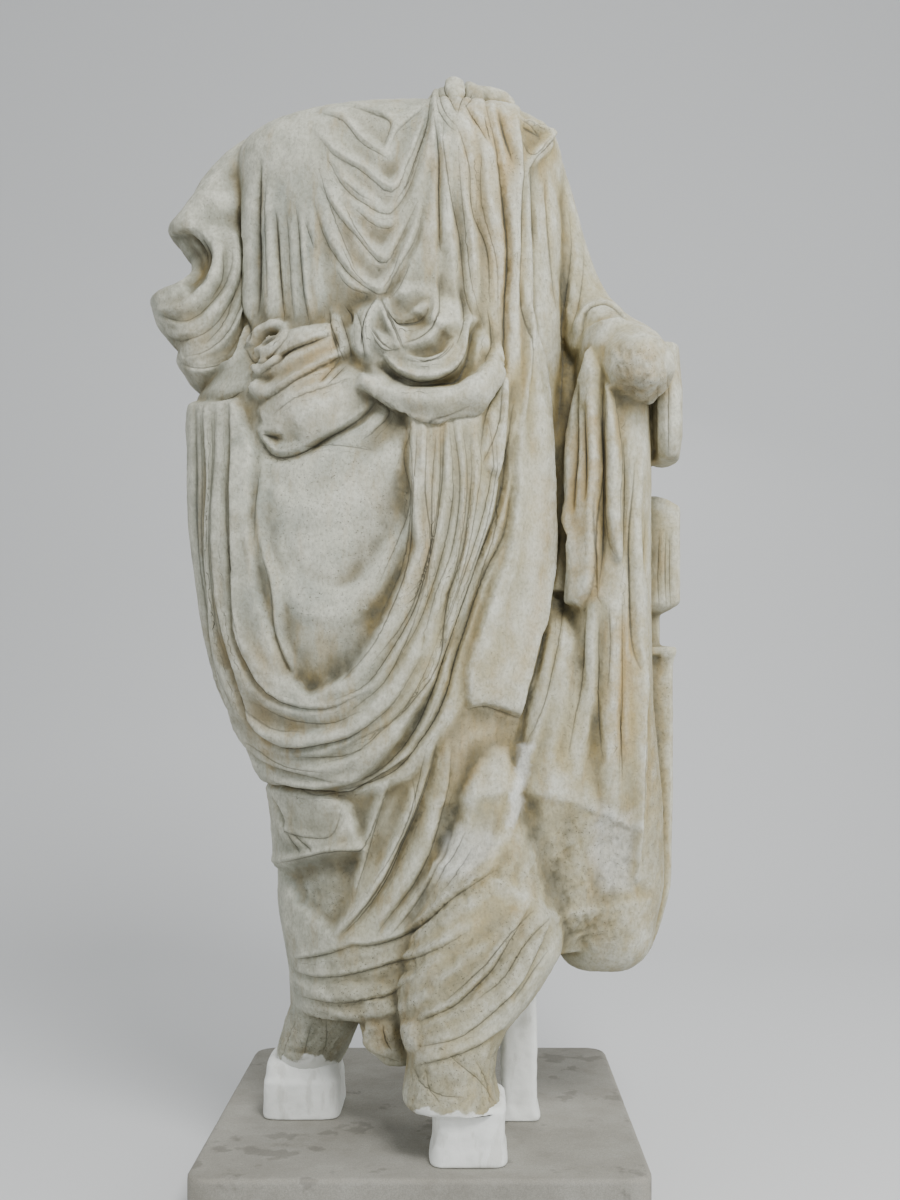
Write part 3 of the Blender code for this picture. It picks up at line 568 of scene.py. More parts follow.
class Relief:
    """Heights over the skin, in squares of the drawing, that the marks build up."""

    def __init__(self, places):
        self.places = places
        self.raised = np.zeros(len(places))
        self.cut = np.zeros(len(places))
        self.layers = np.zeros(len(places))

    def near(self, route, reach):
        low, high = route.min(axis=0) - reach, route.max(axis=0) + reach
        return np.flatnonzero(np.all((self.places > low) & (self.places < high), axis=1))

    def fold(self, route, half, height, lean=0.0):
        """A ridge along the route, whose crest leans to one side of its middle."""
        close = self.near(route, np.max(half))
        away, along = beside_route(self.places[close], route)
        steps = np.arange(len(route))
        across = away / np.interp(along, steps, half) - lean
        across = np.abs(across) / np.where(across > 0, 1 - lean, 1 + lean)
        rise = np.interp(along, steps, height) * np.clip(1 - across**CREST, 0, 1)
        self.raised[close] = np.maximum(self.raised[close], rise)

    def groove(self, route, half, depth):
        """A line cut with the drill, sharp at its bottom."""
        close = self.near(route, half)
        away, along = beside_route(self.places[close], route)
        fall = np.interp(along, np.arange(len(route)), depth * ENDS) * np.clip(1 - np.abs(away) / half, 0, 1)
        self.cut[close] = np.maximum(self.cut[close], fall)

    def edge(self, route, width, height, undercut):
        """The edge of a layer: its cloth lies to the left of the route, and a shadow line beside it."""
        close = self.near(route, width)
        away, along = beside_route(self.places[close], route)
        lift = np.interp(along, np.arange(len(route)), ENDS)
        share = away / width
        rise = np.clip(share * LIP_RISE + LIP_START, 0, 1)
        lip = rise * np.clip(1 - share, 0, 1) ** LIP_FALL * (share > -LIP_BEHIND)
        shade = np.clip(1 - np.abs(share + SHADE_MIDDLE) / SHADE_HALF, 0, 1)
        self.layers[close] += lift * (height * lip)
        self.cut[close] = np.maximum(self.cut[close], lift * undercut * shade)

    def fan(self, share, fullness, count, guides):
        """Folds spread across the guides, unevenly, each as wide as the space it has."""
        lines = np.array([even_route(guide) for guide in guides])
        numbers = np.arange(count)
        inner = np.where((numbers > 0) & (numbers < count - 1), UNEVEN_PLACE, 0.0)
        shifted = numbers + inner * np.sin(PLACE_STEP * numbers + lines[0, 0, 0])
        places = shifted / max(count - 1, 1) * (len(lines) - 1)
        spread = []
        for place in places:
            low = min(int(place), len(lines) - 2)
            spread.append(lines[low] + (lines[low + 1] - lines[low]) * (place - low))
        gaps = np.linalg.norm(np.diff(spread, axis=0), axis=2)
        steps = np.arange(ROUTE_STEPS)
        taper = np.clip(np.minimum(steps, steps[::-1]) / TAPER_STEPS + TAPER_START, 0, 1)
        for number, route in enumerate(spread):
            beside = gaps[max(number - 1, 0) : number + 1].mean(axis=0)
            half = 0.5 * fullness * beside + 1.0
            lift = 1 + UNEVEN_HEIGHT * math.sin(HEIGHT_STEP * number + lines[0, 0, 1])
            lean = UNEVEN_LEAN * math.sin(LEAN_STEP * number + lines[0, 0, 0])
            self.fold(route, half, half * share * lift * taper, lean)

    def layer(self, height, border, outline):
        """A raised or sunk area, easing off at its border."""
        self.layers += self.area(outline, border) ** 0.5 * height

    def area(self, outline, border):
        """1 inside the outline and 0 outside, with a soft border inside it."""
        outline = np.array(outline, float)
        inside = np.zeros(len(self.places), bool)
        for (ax, ay), (bx, by) in zip(outline, np.roll(outline, -1, axis=0)):
            crosses = (ay > self.places[:, 1]) != (by > self.places[:, 1])
            level = np.where(crosses, ax + (self.places[:, 1] - ay) * (bx - ax) / (by - ay + 1e-9), 0)
            inside ^= crosses & (self.places[:, 0] < level)
        share = np.zeros(len(self.places))
        held = np.flatnonzero(inside)
        away, _ = beside_route(self.places[held], np.vstack([outline, outline[:1]]))
        share[held] = np.clip(np.abs(away) / border, 0, 1)
        return share

    def total(self):
        return self.raised + self.layers - self.cut


print("marks: fold, groove, edge, fan and layer, along routes of", ROUTE_STEPS, "points")


# %% Carve by the marks
# How often heights are evened out after carving, and how far a drawn line strays, in squares
SOFTENING = 2
WARP = 0.9
WARP_SIZE = 0.09


def unsteady(places, points):
    """The places moved a little, as a carver's hand is not a ruler."""
    return places + WARP * np.column_stack([waves(points, WARP_SIZE, 1), waves(points, WARP_SIZE, 2)])


def carve(mesh, places, facing, *levels):
    """Moves the points that face the viewer by the marks. Each level is a share and its marks."""
    points, _ = mesh_points(mesh)
    normals = steady_normals(mesh)
    shown = np.flatnonzero(facing > 0)
    heights = np.zeros(len(points))
    for share, marks in levels:
        relief = Relief(places[shown])
        for kind, rows in marks:
            for row in rows:
                getattr(relief, kind)(*row)
        heights[shown] += share * relief.total() * facing[shown]
    means = neighbour_means(mesh)
    for _ in range(SOFTENING):
        heights = (heights + means(heights)) / 2
    move_points(mesh, points + normals * (heights * UNIT)[:, None])


def facing_the_eye(mesh):
    points, normals = mesh_points(mesh)
    sight = points - np.array(EYE)
    return eased(-(normals * sight).sum(axis=1) / np.linalg.norm(sight, axis=1), 0.0, 0.25)


def facing_back(mesh):
    _, normals = mesh_points(mesh)
    return eased(normals[:, 1], 0.02, 0.3)


print("carving strays up to", round(WARP * UNIT * 1000, 1), "mm from the drawn lines")


# %% [markdown]
# The large marks come first. The toga's swag is a thick layer that hangs in nested curves from
# the hip to the left shoulder, and another layer falls from that shoulder. The skirt under the
# swag pulls across from the left hip to the right foot. Guides say where a set of folds starts
# and ends, and the folds between them are worked out, wider where the guides spread.

# %% Large folds and layers
# Sets of folds, each with where it is, the height of its ridges as a share of their half width, how
# full it is, how many ridges it has, and the guides that they spread across, as columns and rows
FOLDS = (
    ("right breast", 0.5, 0.95, 5, (
        ((251, 176), (250, 250), (249, 334)),
        ((312, 200), (316, 250), (322, 310)),
    )),
    ("shoulder, inner", 0.6, 0.95, 3, (
        ((433, 116), (425, 180), (412, 240), (392, 292)),
        ((441, 114), (442, 190), (440, 260), (428, 312)),
    )),
    ("shoulder, middle", 0.6, 0.95, 5, (
        ((446, 118), (448, 170), (452, 240), (454, 300), (446, 344)),
        ((490, 106), (496, 180), (497, 250), (496, 310), (492, 350)),
    )),
    ("shoulder, outer", 0.6, 0.95, 3, (
        ((506, 106), (511, 180), (509, 260), (505, 330), (500, 400), (488, 466)),
        ((522, 126), (526, 200), (524, 290), (527, 360), (534, 420), (542, 480)),
    )),
    ("upper arm", 0.3, 0.9, 4, (
        ((542, 170), (544, 250), (550, 330), (556, 400)),
        ((566, 215), (580, 270), (584, 320), (574, 390)),
    )),
    ("swag", 0.65, 0.95, 6, (
        ((229, 412), (227, 520), (236, 605), (256, 655), (280, 684), (310, 694), (346, 688), (374, 662),
         (402, 616), (422, 548), (432, 492), (436, 424)),
        ((212, 408), (212, 520), (216, 605), (232, 686), (256, 724), (294, 742), (336, 738), (378, 708),
         (412, 660), (438, 600), (456, 520), (462, 430)),
        ((197, 406), (197, 464), (204, 576), (215, 634), (229, 683), (247, 737), (278, 772), (320, 780),
         (356, 773), (393, 733), (427, 677), (458, 600), (487, 506), (499, 400)),
    )),
    ("second layer", 0.65, 0.95, 3, (
        ((506, 520), (494, 580), (472, 640), (452, 700), (422, 748), (384, 778)),
        ((516, 510), (508, 570), (488, 630), (466, 686), (446, 726), (410, 772), (362, 792)),
    )),
    ("band", 0.25, 0.9, 4, (
        ((514, 430), (510, 520), (496, 600), (478, 690)),
        ((548, 450), (548, 540), (536, 630), (514, 700)),
    )),
    ("skirt, left", 0.6, 0.95, 3, (
        ((412, 770), (386, 814), (364, 856), (350, 906)),
        ((430, 754), (414, 806), (388, 856), (362, 906), (338, 936)),
    )),
    ("skirt, right", 0.45, 0.95, 6, (
        ((448, 752), (436, 800), (414, 850), (382, 902), (342, 944)),
        ((524, 760), (512, 820), (476, 880), (430, 926), (380, 952)),
    )),
    ("skirt, far right", 0.25, 0.9, 3, (
        ((536, 760), (524, 830), (494, 900)),
        ((610, 740), (596, 830), (580, 920)),
    )),
    ("hem", 0.4, 0.9, 4, (
        ((292, 958), (336, 962), (386, 950), (444, 924), (500, 882)),
        ((298, 1002), (340, 1012), (380, 1010), (414, 1000), (440, 980)),
    )),
    ("hem, rising", 0.5, 0.95, 6, (
        ((400, 1002), (450, 972), (500, 930), (536, 894)),
        ((420, 1062), (470, 1044), (515, 1012), (545, 970), (572, 928)),
    )),
    ("hanging point", 0.6, 0.95, 3, (
        ((368, 1022), (370, 1040), (384, 1054)),
        ((410, 1020), (410, 1040), (408, 1054)),
    )),
    ("arm fall", 0.4, 0.9, 5, (
        ((566, 612), (562, 680), (550, 740), (540, 790)),
        ((628, 570), (626, 660), (622, 740), (612, 800)),
    )),
    ("outer fall", 0.5, 0.9, 3, (
        ((660, 390), (658, 430), (660, 456)),
        ((676, 385), (677, 430), (675, 456)),
    )),
)

# %% Single large folds
# Each ridge: half width, height, then its route as columns and rows
RIDGES = (
    (10, 9, (214, 238), (217, 258), (211, 280), (199, 296), (184, 308), (160, 310)),
    (11, 9, (233, 236), (232, 265), (229, 290), (218, 312), (202, 329), (184, 336), (166, 332)),
    (9, 8, (247, 280), (240, 312), (225, 333), (211, 347), (192, 356)),
    (9, 7, (250, 325), (240, 348), (226, 361), (208, 367), (186, 366)),
    (7, 5, (252, 190), (252, 240), (251, 290), (251, 318)),
    (10, 4, (334, 112), (360, 136), (383, 156), (398, 126)),
    (10, 4, (319, 138), (347, 160), (390, 190), (411, 164), (428, 106)),
    (9, 3, (324, 186), (360, 206), (388, 219), (405, 206), (420, 172)),
    (11, 4, (328, 194), (354, 234), (379, 261), (405, 226), (419, 196)),
    (11, 4, (324, 200), (346, 262), (374, 292), (398, 266), (414, 230)),
    (9, 3, (330, 250), (346, 276), (362, 294)),
    (11, 7, (262, 460), (258, 534), (272, 584), (280, 634), (296, 672)),
    (10, 3, (274, 500), (292, 518), (332, 516), (376, 492), (404, 450), (407, 424)),
    (10, 3, (274, 538), (292, 576), (332, 594), (360, 588), (390, 548), (412, 508)),
    (10, 7, (408, 428), (412, 492), (411, 548), (388, 616), (350, 676), (314, 692)),
    (9, 7, (421, 412), (423, 464), (431, 520), (422, 576), (402, 606)),
    (9, 7, (632, 460), (634, 540), (636, 640), (640, 760), (640, 880)),
    (7, 6, (608, 600), (612, 634), (608, 690)),
    (8, 5, (280, 866), (314, 856), (364, 848)),
    (7, 4, (279, 802), (295, 835), (335, 841), (352, 804)),
    (8, 6, (520, 120), (543, 126), (550, 136), (540, 152), (524, 172)),
    (9, 7, (574, 332), (588, 314), (610, 312), (626, 322)),
    (7, 4, (488, 410), (487, 436), (480, 466)),
)

# %% Layers and breaks
# Layers of cloth that lie over the rest, or hollows and breaks sunk into it: height, how wide the
# border is, then the outline as columns and rows
SHEETS = (
    (-9, 9, ((166, 240), (184, 229), (196, 228), (206, 242), (211, 262), (206, 282), (190, 296), (180, 280),
             (176, 256))),
    (9, 5, ((180, 404), (186, 480), (192, 576), (204, 636), (218, 690), (238, 742), (270, 780), (320, 788),
         (360, 781), (399, 740), (433, 684), (464, 607), (494, 508), (506, 430), (503, 384), (492, 356),
         (474, 372), (454, 384), (430, 388), (408, 384), (384, 377), (360, 374), (354, 388), (380, 402),
         (406, 414), (413, 548), (388, 612), (350, 672), (312, 690), (286, 668), (262, 590), (252, 520),
         (258, 452), (240, 400))),
    (5, 5, ((430, 60), (430, 170), (418, 240), (394, 296), (440, 330), (470, 330), (498, 372), (480, 470),
         (496, 480), (520, 420), (532, 300), (528, 200), (516, 60))),
    (8, 4, ((527, 300), (520, 360), (514, 430), (510, 510), (500, 560), (480, 619), (464, 675), (466, 708),
         (482, 705), (503, 711), (519, 718), (532, 690), (543, 640), (551, 574), (553, 480), (546, 400),
         (536, 350))),
    (-8, 5, ((376, 366), (392, 380), (410, 389), (434, 388), (458, 383), (472, 370), (478, 350), (478, 325),
             (470, 325), (467, 345), (461, 362), (450, 371), (434, 377), (416, 378), (400, 372), (386, 361))),
    (-6, 8, ((384, 303), (398, 299), (415, 294), (430, 300), (432, 311), (423, 320), (411, 324), (398, 322),
             (388, 316))),
    (-5, 5, ((404, 350), (420, 346), (434, 340), (443, 328), (452, 336), (442, 352), (426, 358), (412, 356))),
    (9, 4, ((590, 346), (578, 400), (570, 435), (573, 500), (568, 520), (576, 536), (572, 604), (583, 607),
         (593, 588), (598, 530), (600, 440), (600, 370))),
    (8, 4, ((606, 380), (605, 450), (607, 525), (613, 562), (622, 560), (623, 545), (622, 480), (617, 430),
         (612, 384))),
    (7, 5, ((262, 780), (330, 792), (352, 802), (366, 850), (316, 860), (278, 868), (262, 850))),
    (-5, 8, ((283, 872), (364, 856), (357, 896), (334, 934), (296, 906))),
    (-7, 26, ((440, 806), (520, 790), (560, 800), (640, 830), (650, 900), (560, 915), (500, 880),
              (430, 860))),
)

# %% [markdown]
# The fine marks follow: the edges of cloth with a shadow line beside them, and the thin lines that
# a running drill leaves. They are what makes marble read as cloth. The tunic on the chest hangs in
# nested curves from the neck, and it is gathered into straight pleats beside the arm.

# %% Marks on the chest and the shoulder
# An edge has a width, a height, the depth of its shadow line and its route. A groove has half its
# width, its depth and its route. A fold has half its width, its height and its route.
CHEST_EDGES = (
    (12, 4, 3, (322, 110), (342, 119), (361, 142), (375, 152), (386, 158)),
    (10, 4, 3, (352, 104), (368, 110), (390, 121), (387, 138), (381, 148)),
    (9, 3, 3, (389, 145), (400, 126), (426, 106)),
    (16, 5, 3, (319, 136), (334, 154), (360, 170), (393, 191), (407, 163), (427, 112)),
    (14, 4, 3, (326, 155), (347, 188), (372, 206), (388, 213), (400, 203), (409, 186), (421, 150)),
    (16, 5, 3, (322, 186), (342, 218), (360, 239), (377, 258), (386, 261), (398, 239), (418, 200)),
    (16, 5, 3, (316, 203), (329, 244), (349, 272), (374, 292), (383, 295), (395, 272), (413, 239),
     (423, 203)),
    (9, 3, 2, (336, 269), (350, 286), (370, 296)),
    (8, 3, 2, (345, 182), (360, 194), (374, 201)),
    (8, 3, 2, (356, 208), (372, 222), (388, 228), (398, 220)),
    (8, 4, 4, (540, 137), (530, 128), (518, 122)),
    (10, 6, 4, (525, 175), (533, 158), (545, 147), (552, 135), (543, 128), (520, 119)),
    (10, 5, 5, (578, 338), (588, 311), (606, 306), (626, 320)),
)
CHEST_GROOVES = (
    (3.0, 9, (259, 162), (259, 218), (258, 300), (256, 318)),
    (2.6, 7, (277, 213), (279, 264), (284, 323)),
    (2.4, 5, (296, 205), (302, 264), (309, 325)),
    (2.2, 4, (306, 223), (315, 249)),
    (2.2, 4, (248, 240), (246, 290), (246, 312)),
    (3.0, 9, (434, 116), (438, 162), (438, 220), (439, 249), (443, 254)),
    (2.4, 5, (444, 121), (442, 149), (451, 203), (459, 244), (466, 302), (471, 328)),
    (2.6, 6, (464, 106), (474, 124), (485, 145)),
    (2.4, 6, (484, 121), (488, 145)),
    (2.4, 5, (466, 170), (471, 213), (484, 249), (489, 310)),
    (2.2, 4, (455, 128), (462, 150), (468, 176), (470, 210)),
    (2.2, 4, (437, 100), (439, 112), (446, 126), (454, 134)),
    (3.2, 9, (484, 98), (497, 167), (504, 213), (504, 302), (500, 361), (482, 422), (476, 458)),
    (5.0, 8, (498, 112), (503, 138), (510, 164)),
    (2.6, 6, (518, 120), (521, 175), (517, 269), (519, 302), (525, 341), (524, 392)),
    (4.0, 13, (531, 232), (533, 290), (538, 341), (545, 392), (553, 428)),
    (3.0, 6, (530, 170), (533, 213), (536, 250)),
    (2.6, 5, (571, 213), (569, 264), (563, 328), (563, 366), (558, 430)),
    (2.2, 5, (445, 84), (447, 98), (452, 107), (457, 117)),
    (2.2, 5, (463, 84), (463, 98), (460, 109), (457, 118)),
    (2.2, 4, (440, 90), (440, 102), (447, 118), (456, 130)),
    (2.0, 4, (473, 96), (471, 104), (464, 112)),
    (2.6, 6, (520, 127), (530, 131), (541, 137)),
    (2.2, 4, (520, 142), (533, 155), (548, 141)),
    (3.0, 7, (431, 95), (428, 119), (416, 157), (405, 193)),
    (2.4, 5, (440, 279), (440, 312), (431, 328), (416, 338), (402, 343)),
    (2.4, 4, (545, 180), (549, 250), (556, 310)),
    (2.2, 3, (585, 250), (580, 300), (572, 330)),
    (1.8, 3, (345, 205), (358, 232), (372, 252)),
    (1.8, 3, (400, 250), (392, 276), (384, 292)),
    (1.8, 3, (411, 262), (401, 288), (390, 300)),
    (1.8, 3, (340, 245), (352, 268), (368, 288)),
    (1.8, 3, (395, 206), (410, 180), (420, 150)),
    (1.8, 3, (317, 166), (330, 205), (345, 247), (360, 278)),
    (1.8, 3, (266, 176), (268, 240), (270, 300)),
    (1.8, 3, (286, 210), (290, 262), (294, 322)),
    (1.8, 3, (456, 150), (462, 215), (470, 280), (482, 330)),
    (1.8, 3, (478, 150), (480, 200), (492, 262), (498, 330)),
)
CHEST_FOLDS = (
    (8, 4, (252, 186), (253, 240), (251, 318)),
    (8, 3, (268, 186), (269, 250), (270, 322)),
    (6, 3, (290, 220), (293, 270), (297, 322)),
    (5, 3, (303, 230), (307, 280), (312, 318)),
    (6, 4, (436, 118), (446, 170), (447, 230), (455, 300), (458, 332)),
    (6, 4, (455, 128), (458, 180), (470, 240), (478, 316)),
    (7, 4, (475, 118), (484, 180), (494, 240), (496, 310)),
    (7, 5, (512, 112), (516, 167), (511, 230), (511, 302), (507, 370), (494, 440)),
    (8, 4, (552, 190), (560, 250), (566, 300)),
    (7, 4, (433, 97), (434, 120), (424, 160), (412, 200)),
)
print(len(CHEST_EDGES) + len(CHEST_GROOVES) + len(CHEST_FOLDS), "marks on the chest")


# %% Marks on the sleeve, the belt of folds and the knot of cloth
BELT_EDGES = (
    (14, 5, 4, (232, 246), (231, 269), (220, 297), (197, 318), (179, 323), (158, 315)),
    (14, 5, 4, (242, 210), (245, 254), (240, 285), (227, 315), (206, 335), (181, 343), (168, 339)),
    (12, 4, 4, (247, 269), (242, 305), (228, 335), (206, 353), (185, 357)),
    (12, 5, 4, (246, 330), (238, 356), (224, 366), (201, 369), (180, 364)),
    (9, 4, 4, (247, 348), (255, 360), (268, 359), (283, 341), (288, 329)),
    (12, 6, 6, (258, 374), (275, 362), (293, 348), (331, 334)),
    (10, 5, 6, (264, 399), (280, 388), (293, 379), (315, 367), (339, 356)),
    (24, 7, 8, (262, 440), (275, 454), (296, 451), (324, 438), (360, 415), (376, 398)),
    (8, 4, 3, (272, 415), (290, 400), (309, 391), (350, 378)),
    (8, 4, 5, (385, 304), (391, 315), (405, 323), (423, 318), (429, 306)),
    (9, 5, 5, (377, 299), (367, 312), (362, 330), (361, 348)),
    (9, 5, 6, (403, 350), (396, 331), (387, 314), (380, 299)),
    (8, 4, 4, (392, 350), (381, 341), (370, 326)),
    (9, 4, 5, (331, 310), (334, 334), (340, 360)),
    (8, 4, 4, (371, 330), (378, 342), (388, 350), (399, 348)),
    (8, 3, 3, (402, 343), (416, 338), (431, 328), (440, 312)),
    (8, 4, 4, (405, 358), (418, 361), (441, 356), (454, 340)),
    (13, 6, 5, (383, 356), (400, 374), (423, 381), (451, 371), (464, 353), (469, 325)),
    (16, 7, 7, (361, 389), (385, 402), (423, 411), (459, 409), (477, 397), (496, 370), (500, 350)),
)
BELT_GROOVES = (
    (3.5, 8, (260, 344), (267, 340), (275, 335)),
    (2.4, 5, (319, 381), (328, 371), (338, 360)),
    (2.4, 5, (327, 385), (336, 374), (345, 366)),
    (5.5, 9, (262, 436), (270, 438), (280, 440)),
    (2.4, 5, (330, 319), (336, 340), (343, 360)),
    (2.4, 5, (341, 313), (346, 336), (351, 358)),
    (2.4, 5, (355, 310), (360, 328), (360, 345)),
    (3.2, 8, (377, 300), (368, 311), (361, 330), (364, 358)),
    (3.4, 9, (380, 299), (386, 312), (395, 330), (402, 348)),
    (4.0, 9, (386, 306), (390, 316), (400, 322), (412, 322), (423, 317), (428, 310)),
    (4.5, 9, (378, 367), (388, 375), (398, 382), (412, 387), (433, 385), (454, 381), (467, 370), (474, 350),
     (475, 326)),
    (2.2, 5, (455, 345), (461, 330), (462, 310), (460, 292)),
    (2.2, 5, (483, 368), (489, 350), (489, 330), (486, 310)),
    (1.8, 4, (385, 398), (404, 408), (425, 411), (448, 408), (468, 398)),
    (2.2, 5, (412, 358), (424, 361), (440, 356), (450, 344)),
    (3.2, 8, (370, 327), (381, 341), (392, 350)),
    (3.2, 7, (346, 306), (350, 312), (350, 322)),
    (6.0, 10, (184, 234), (192, 244), (200, 254)),
    (4.0, 8, (200, 236), (208, 252), (207, 268)),
    (2.4, 4, (222, 250), (222, 280), (212, 300)),
    (2.4, 4, (236, 290), (226, 322), (206, 344)),
    (2.4, 5, (215, 402), (230, 398), (244, 391)),
    (3.0, 6, (246, 318), (250, 330), (248, 345)),
)
BELT_FOLDS = (
    (8, 3, (266, 366), (290, 356), (326, 340)),
    (6, 3, (275, 389), (305, 372), (334, 354)),
    (7, 4, (358, 381), (380, 388), (400, 394), (426, 399), (454, 395), (474, 384), (489, 362)),
    (6, 5, (386, 358), (402, 371), (420, 376), (438, 375), (454, 368), (463, 355), (465, 330)),
    (5, 5, (403, 345), (419, 341), (430, 334), (436, 322), (437, 300), (438, 280)),
    (5, 4, (377, 300), (367, 313), (362, 328), (360, 342)),
    (5, 4, (383, 302), (388, 316), (395, 331), (401, 346)),
    (5, 4, (411, 357), (421, 365), (435, 360), (449, 352), (456, 342)),
    (5, 3, (371, 326), (379, 338), (386, 350)),
)
print(len(BELT_EDGES) + len(BELT_GROOVES) + len(BELT_FOLDS), "marks on the belt")


# %% Marks on the swag
SWAG_EDGES = (
    (12, 5, 5, (212, 408), (215, 492), (217, 576), (228, 661), (247, 725), (273, 757), (315, 772),
     (346, 778)),
    (14, 6, 6, (236, 411), (236, 520), (240, 610), (254, 661), (274, 692), (306, 704), (337, 703),
     (366, 688)),
    (14, 6, 5, (226, 600), (240, 655), (254, 703), (276, 734), (306, 743), (354, 732), (393, 698),
     (421, 652)),
    (14, 6, 6, (445, 430), (440, 498), (430, 560), (413, 616), (390, 655), (365, 686), (330, 702)),
    (12, 5, 4, (454, 420), (458, 492), (452, 548), (433, 604), (421, 652)),
    (14, 6, 5, (469, 440), (469, 492), (463, 548), (447, 604), (440, 660), (421, 692), (388, 725), (354, 753),
     (318, 762)),
    (16, 7, 8, (506, 430), (505, 487), (489, 537), (466, 593), (449, 647), (432, 697), (410, 742), (377, 773),
     (345, 787)),
    (14, 6, 7, (514, 480), (511, 498), (503, 537), (478, 593), (461, 649), (449, 692), (432, 728), (404, 765),
     (371, 783), (330, 792)),
    (10, 4, 4, (360, 440), (388, 414), (376, 401)),
    (12, 5, 4, (408, 416), (411, 434), (404, 458), (413, 498), (400, 540), (377, 590)),
    (10, 4, 4, (436, 436), (432, 492), (431, 540), (424, 590), (402, 608)),
    (12, 4, 3, (260, 540), (272, 582), (278, 632), (292, 674)),
    (9, 3, 3, (278, 772), (315, 792), (354, 789)),
)
SWAG_GROOVES = (
    (2.4, 4, (204, 410), (205, 492), (211, 576), (226, 670)),
    (2.4, 3, (222, 414), (220, 500), (224, 590), (236, 650)),
    (2.4, 5, (416, 430), (414, 492), (410, 548), (396, 600), (372, 648), (340, 684)),
    (2.4, 4, (426, 430), (425, 490), (429, 540), (420, 580), (404, 600)),
    (2.4, 4, (462, 430), (464, 500), (456, 560), (440, 620)),
    (2.4, 5, (484, 420), (488, 470), (480, 520), (460, 580), (440, 640)),
    (2.6, 5, (497, 387), (493, 428), (478, 466)),
    (2.6, 5, (510, 404), (503, 460), (492, 488)),
    (2.2, 3, (301, 446), (337, 446), (374, 450)),
    (2.2, 3, (262, 466), (257, 500), (255, 540)),
    (2.2, 3, (250, 700), (278, 724), (310, 730)),
    (2.2, 3, (300, 752), (340, 754), (372, 742)),
    (1.8, 4, (186, 420), (190, 500), (199, 590), (212, 655)),
    (1.8, 4, (192, 414), (197, 500), (205, 585), (219, 662), (236, 704)),
    (1.8, 3, (209, 412), (210, 500), (214, 580), (230, 665), (250, 715)),
    (1.8, 3, (219, 412), (219, 520), (223, 600), (236, 664)),
    (1.6, 3, (231, 470), (233, 540), (239, 600), (252, 652)),
    (1.8, 4, (405, 422), (412, 470), (411, 520), (401, 570), (379, 620)),
    (1.8, 5, (440, 425), (437, 500), (424, 570), (403, 625), (371, 664)),
    (1.8, 4, (449, 425), (450, 500), (440, 560), (420, 620), (391, 672)),
    (1.8, 4, (475, 430), (477, 480), (468, 540), (452, 600), (431, 650)),
    (1.8, 4, (490, 440), (491, 490), (478, 545), (458, 600)),
    (1.8, 4, (500, 470), (496, 520), (482, 570), (465, 620)),
    (1.8, 4, (425, 585), (411, 630), (387, 676), (351, 712)),
    (1.8, 3, (436, 640), (418, 684), (390, 720), (350, 742)),
    (1.8, 3, (262, 700), (290, 716), (330, 722), (366, 708)),
    (1.8, 3, (256, 736), (290, 760), (330, 768)),
)
SWAG_FOLDS = (
    (6, 3, (200, 408), (201, 492), (207, 571), (222, 668), (244, 736)),
    (7, 3, (225, 411), (224, 492), (226, 593), (239, 655)),
    (16, 5, (268, 484), (296, 504), (334, 498), (372, 470), (394, 448), (406, 426)),
    (18, 5, (268, 560), (292, 596), (322, 612), (352, 600), (382, 566), (400, 530), (410, 500)),
    (8, 3, (300, 720), (336, 718), (370, 700), (400, 668)),
    (8, 3, (290, 762), (330, 766), (370, 754), (404, 724)),
    (6, 4, (489, 392), (485, 430), (476, 462)),
    (5, 3, (452, 520), (436, 600), (418, 640)),
)
print(len(SWAG_EDGES) + len(SWAG_GROOVES) + len(SWAG_FOLDS), "marks on the swag")


# %% Marks on the hanging band, the forearm's cloth and the pier
SIDE_EDGES = (
    (8, 6, 3, (519, 719), (498, 711), (481, 706), (466, 710)),
    (7, 4, 4, (567, 450), (569, 482), (573, 525), (578, 535), (573, 564), (572, 606)),
    (5, 4, 5, (582, 608), (592, 588), (597, 535), (602, 477), (600, 404)),
    (6, 4, 4, (609, 392), (605, 443), (607, 511), (610, 545), (619, 562)),
    (5, 4, 4, (620, 550), (619, 496), (622, 453), (614, 387)),
    (6, 4, 4, (598, 491), (597, 586), (603, 604)),
    (8, 5, 4, (566, 598), (556, 659), (544, 707), (524, 751)),
    (8, 4, 4, (588, 612), (582, 683), (575, 719), (568, 756)),
    (8, 4, 3, (610, 605), (611, 647), (608, 690)),
)
SIDE_GROOVES = (
    (4.5, 15, (553, 428), (556, 470), (556, 516), (553, 569), (544, 634), (527, 702), (520, 739)),
    (3.2, 8, (585, 385), (583, 424), (580, 477), (580, 510)),
    (3.0, 8, (590, 409), (588, 453), (590, 500)),
    (3.0, 8, (603, 384), (602, 440), (604, 520), (598, 590)),
    (2.6, 6, (624, 440), (625, 500), (624, 560)),
    (3.4, 8, (634, 462), (631, 516), (630, 564), (632, 640), (638, 671)),
    (2.4, 4, (646, 513), (643, 598), (644, 647), (643, 760), (642, 860)),
    (2.2, 4, (659, 530), (659, 608)),
    (2.2, 4, (666, 532), (666, 606)),
    (2.2, 3, (670, 532), (670, 606)),
    (2.6, 5, (600, 622), (598, 695), (602, 760)),
    (2.6, 4, (622, 600), (622, 700), (618, 780)),
    (2.4, 4, (658, 385), (657, 456)),
    (2.4, 4, (668, 372), (669, 456)),
    (3.0, 5, (620, 700), (622, 780)),
)
SIDE_FOLDS = (
    (5, 5, (640, 462), (638, 540), (640, 640), (642, 760), (638, 880)),
    (5, 4, (576, 430), (574, 500), (580, 560), (578, 600)),
    (5, 4, (595, 390), (596, 460), (593, 540)),
    (5, 4, (615, 400), (613, 480), (615, 550)),
    (7, 4, (596, 604), (590, 680), (584, 740)),
    (8, 4, (552, 640), (542, 700), (530, 760)),
)
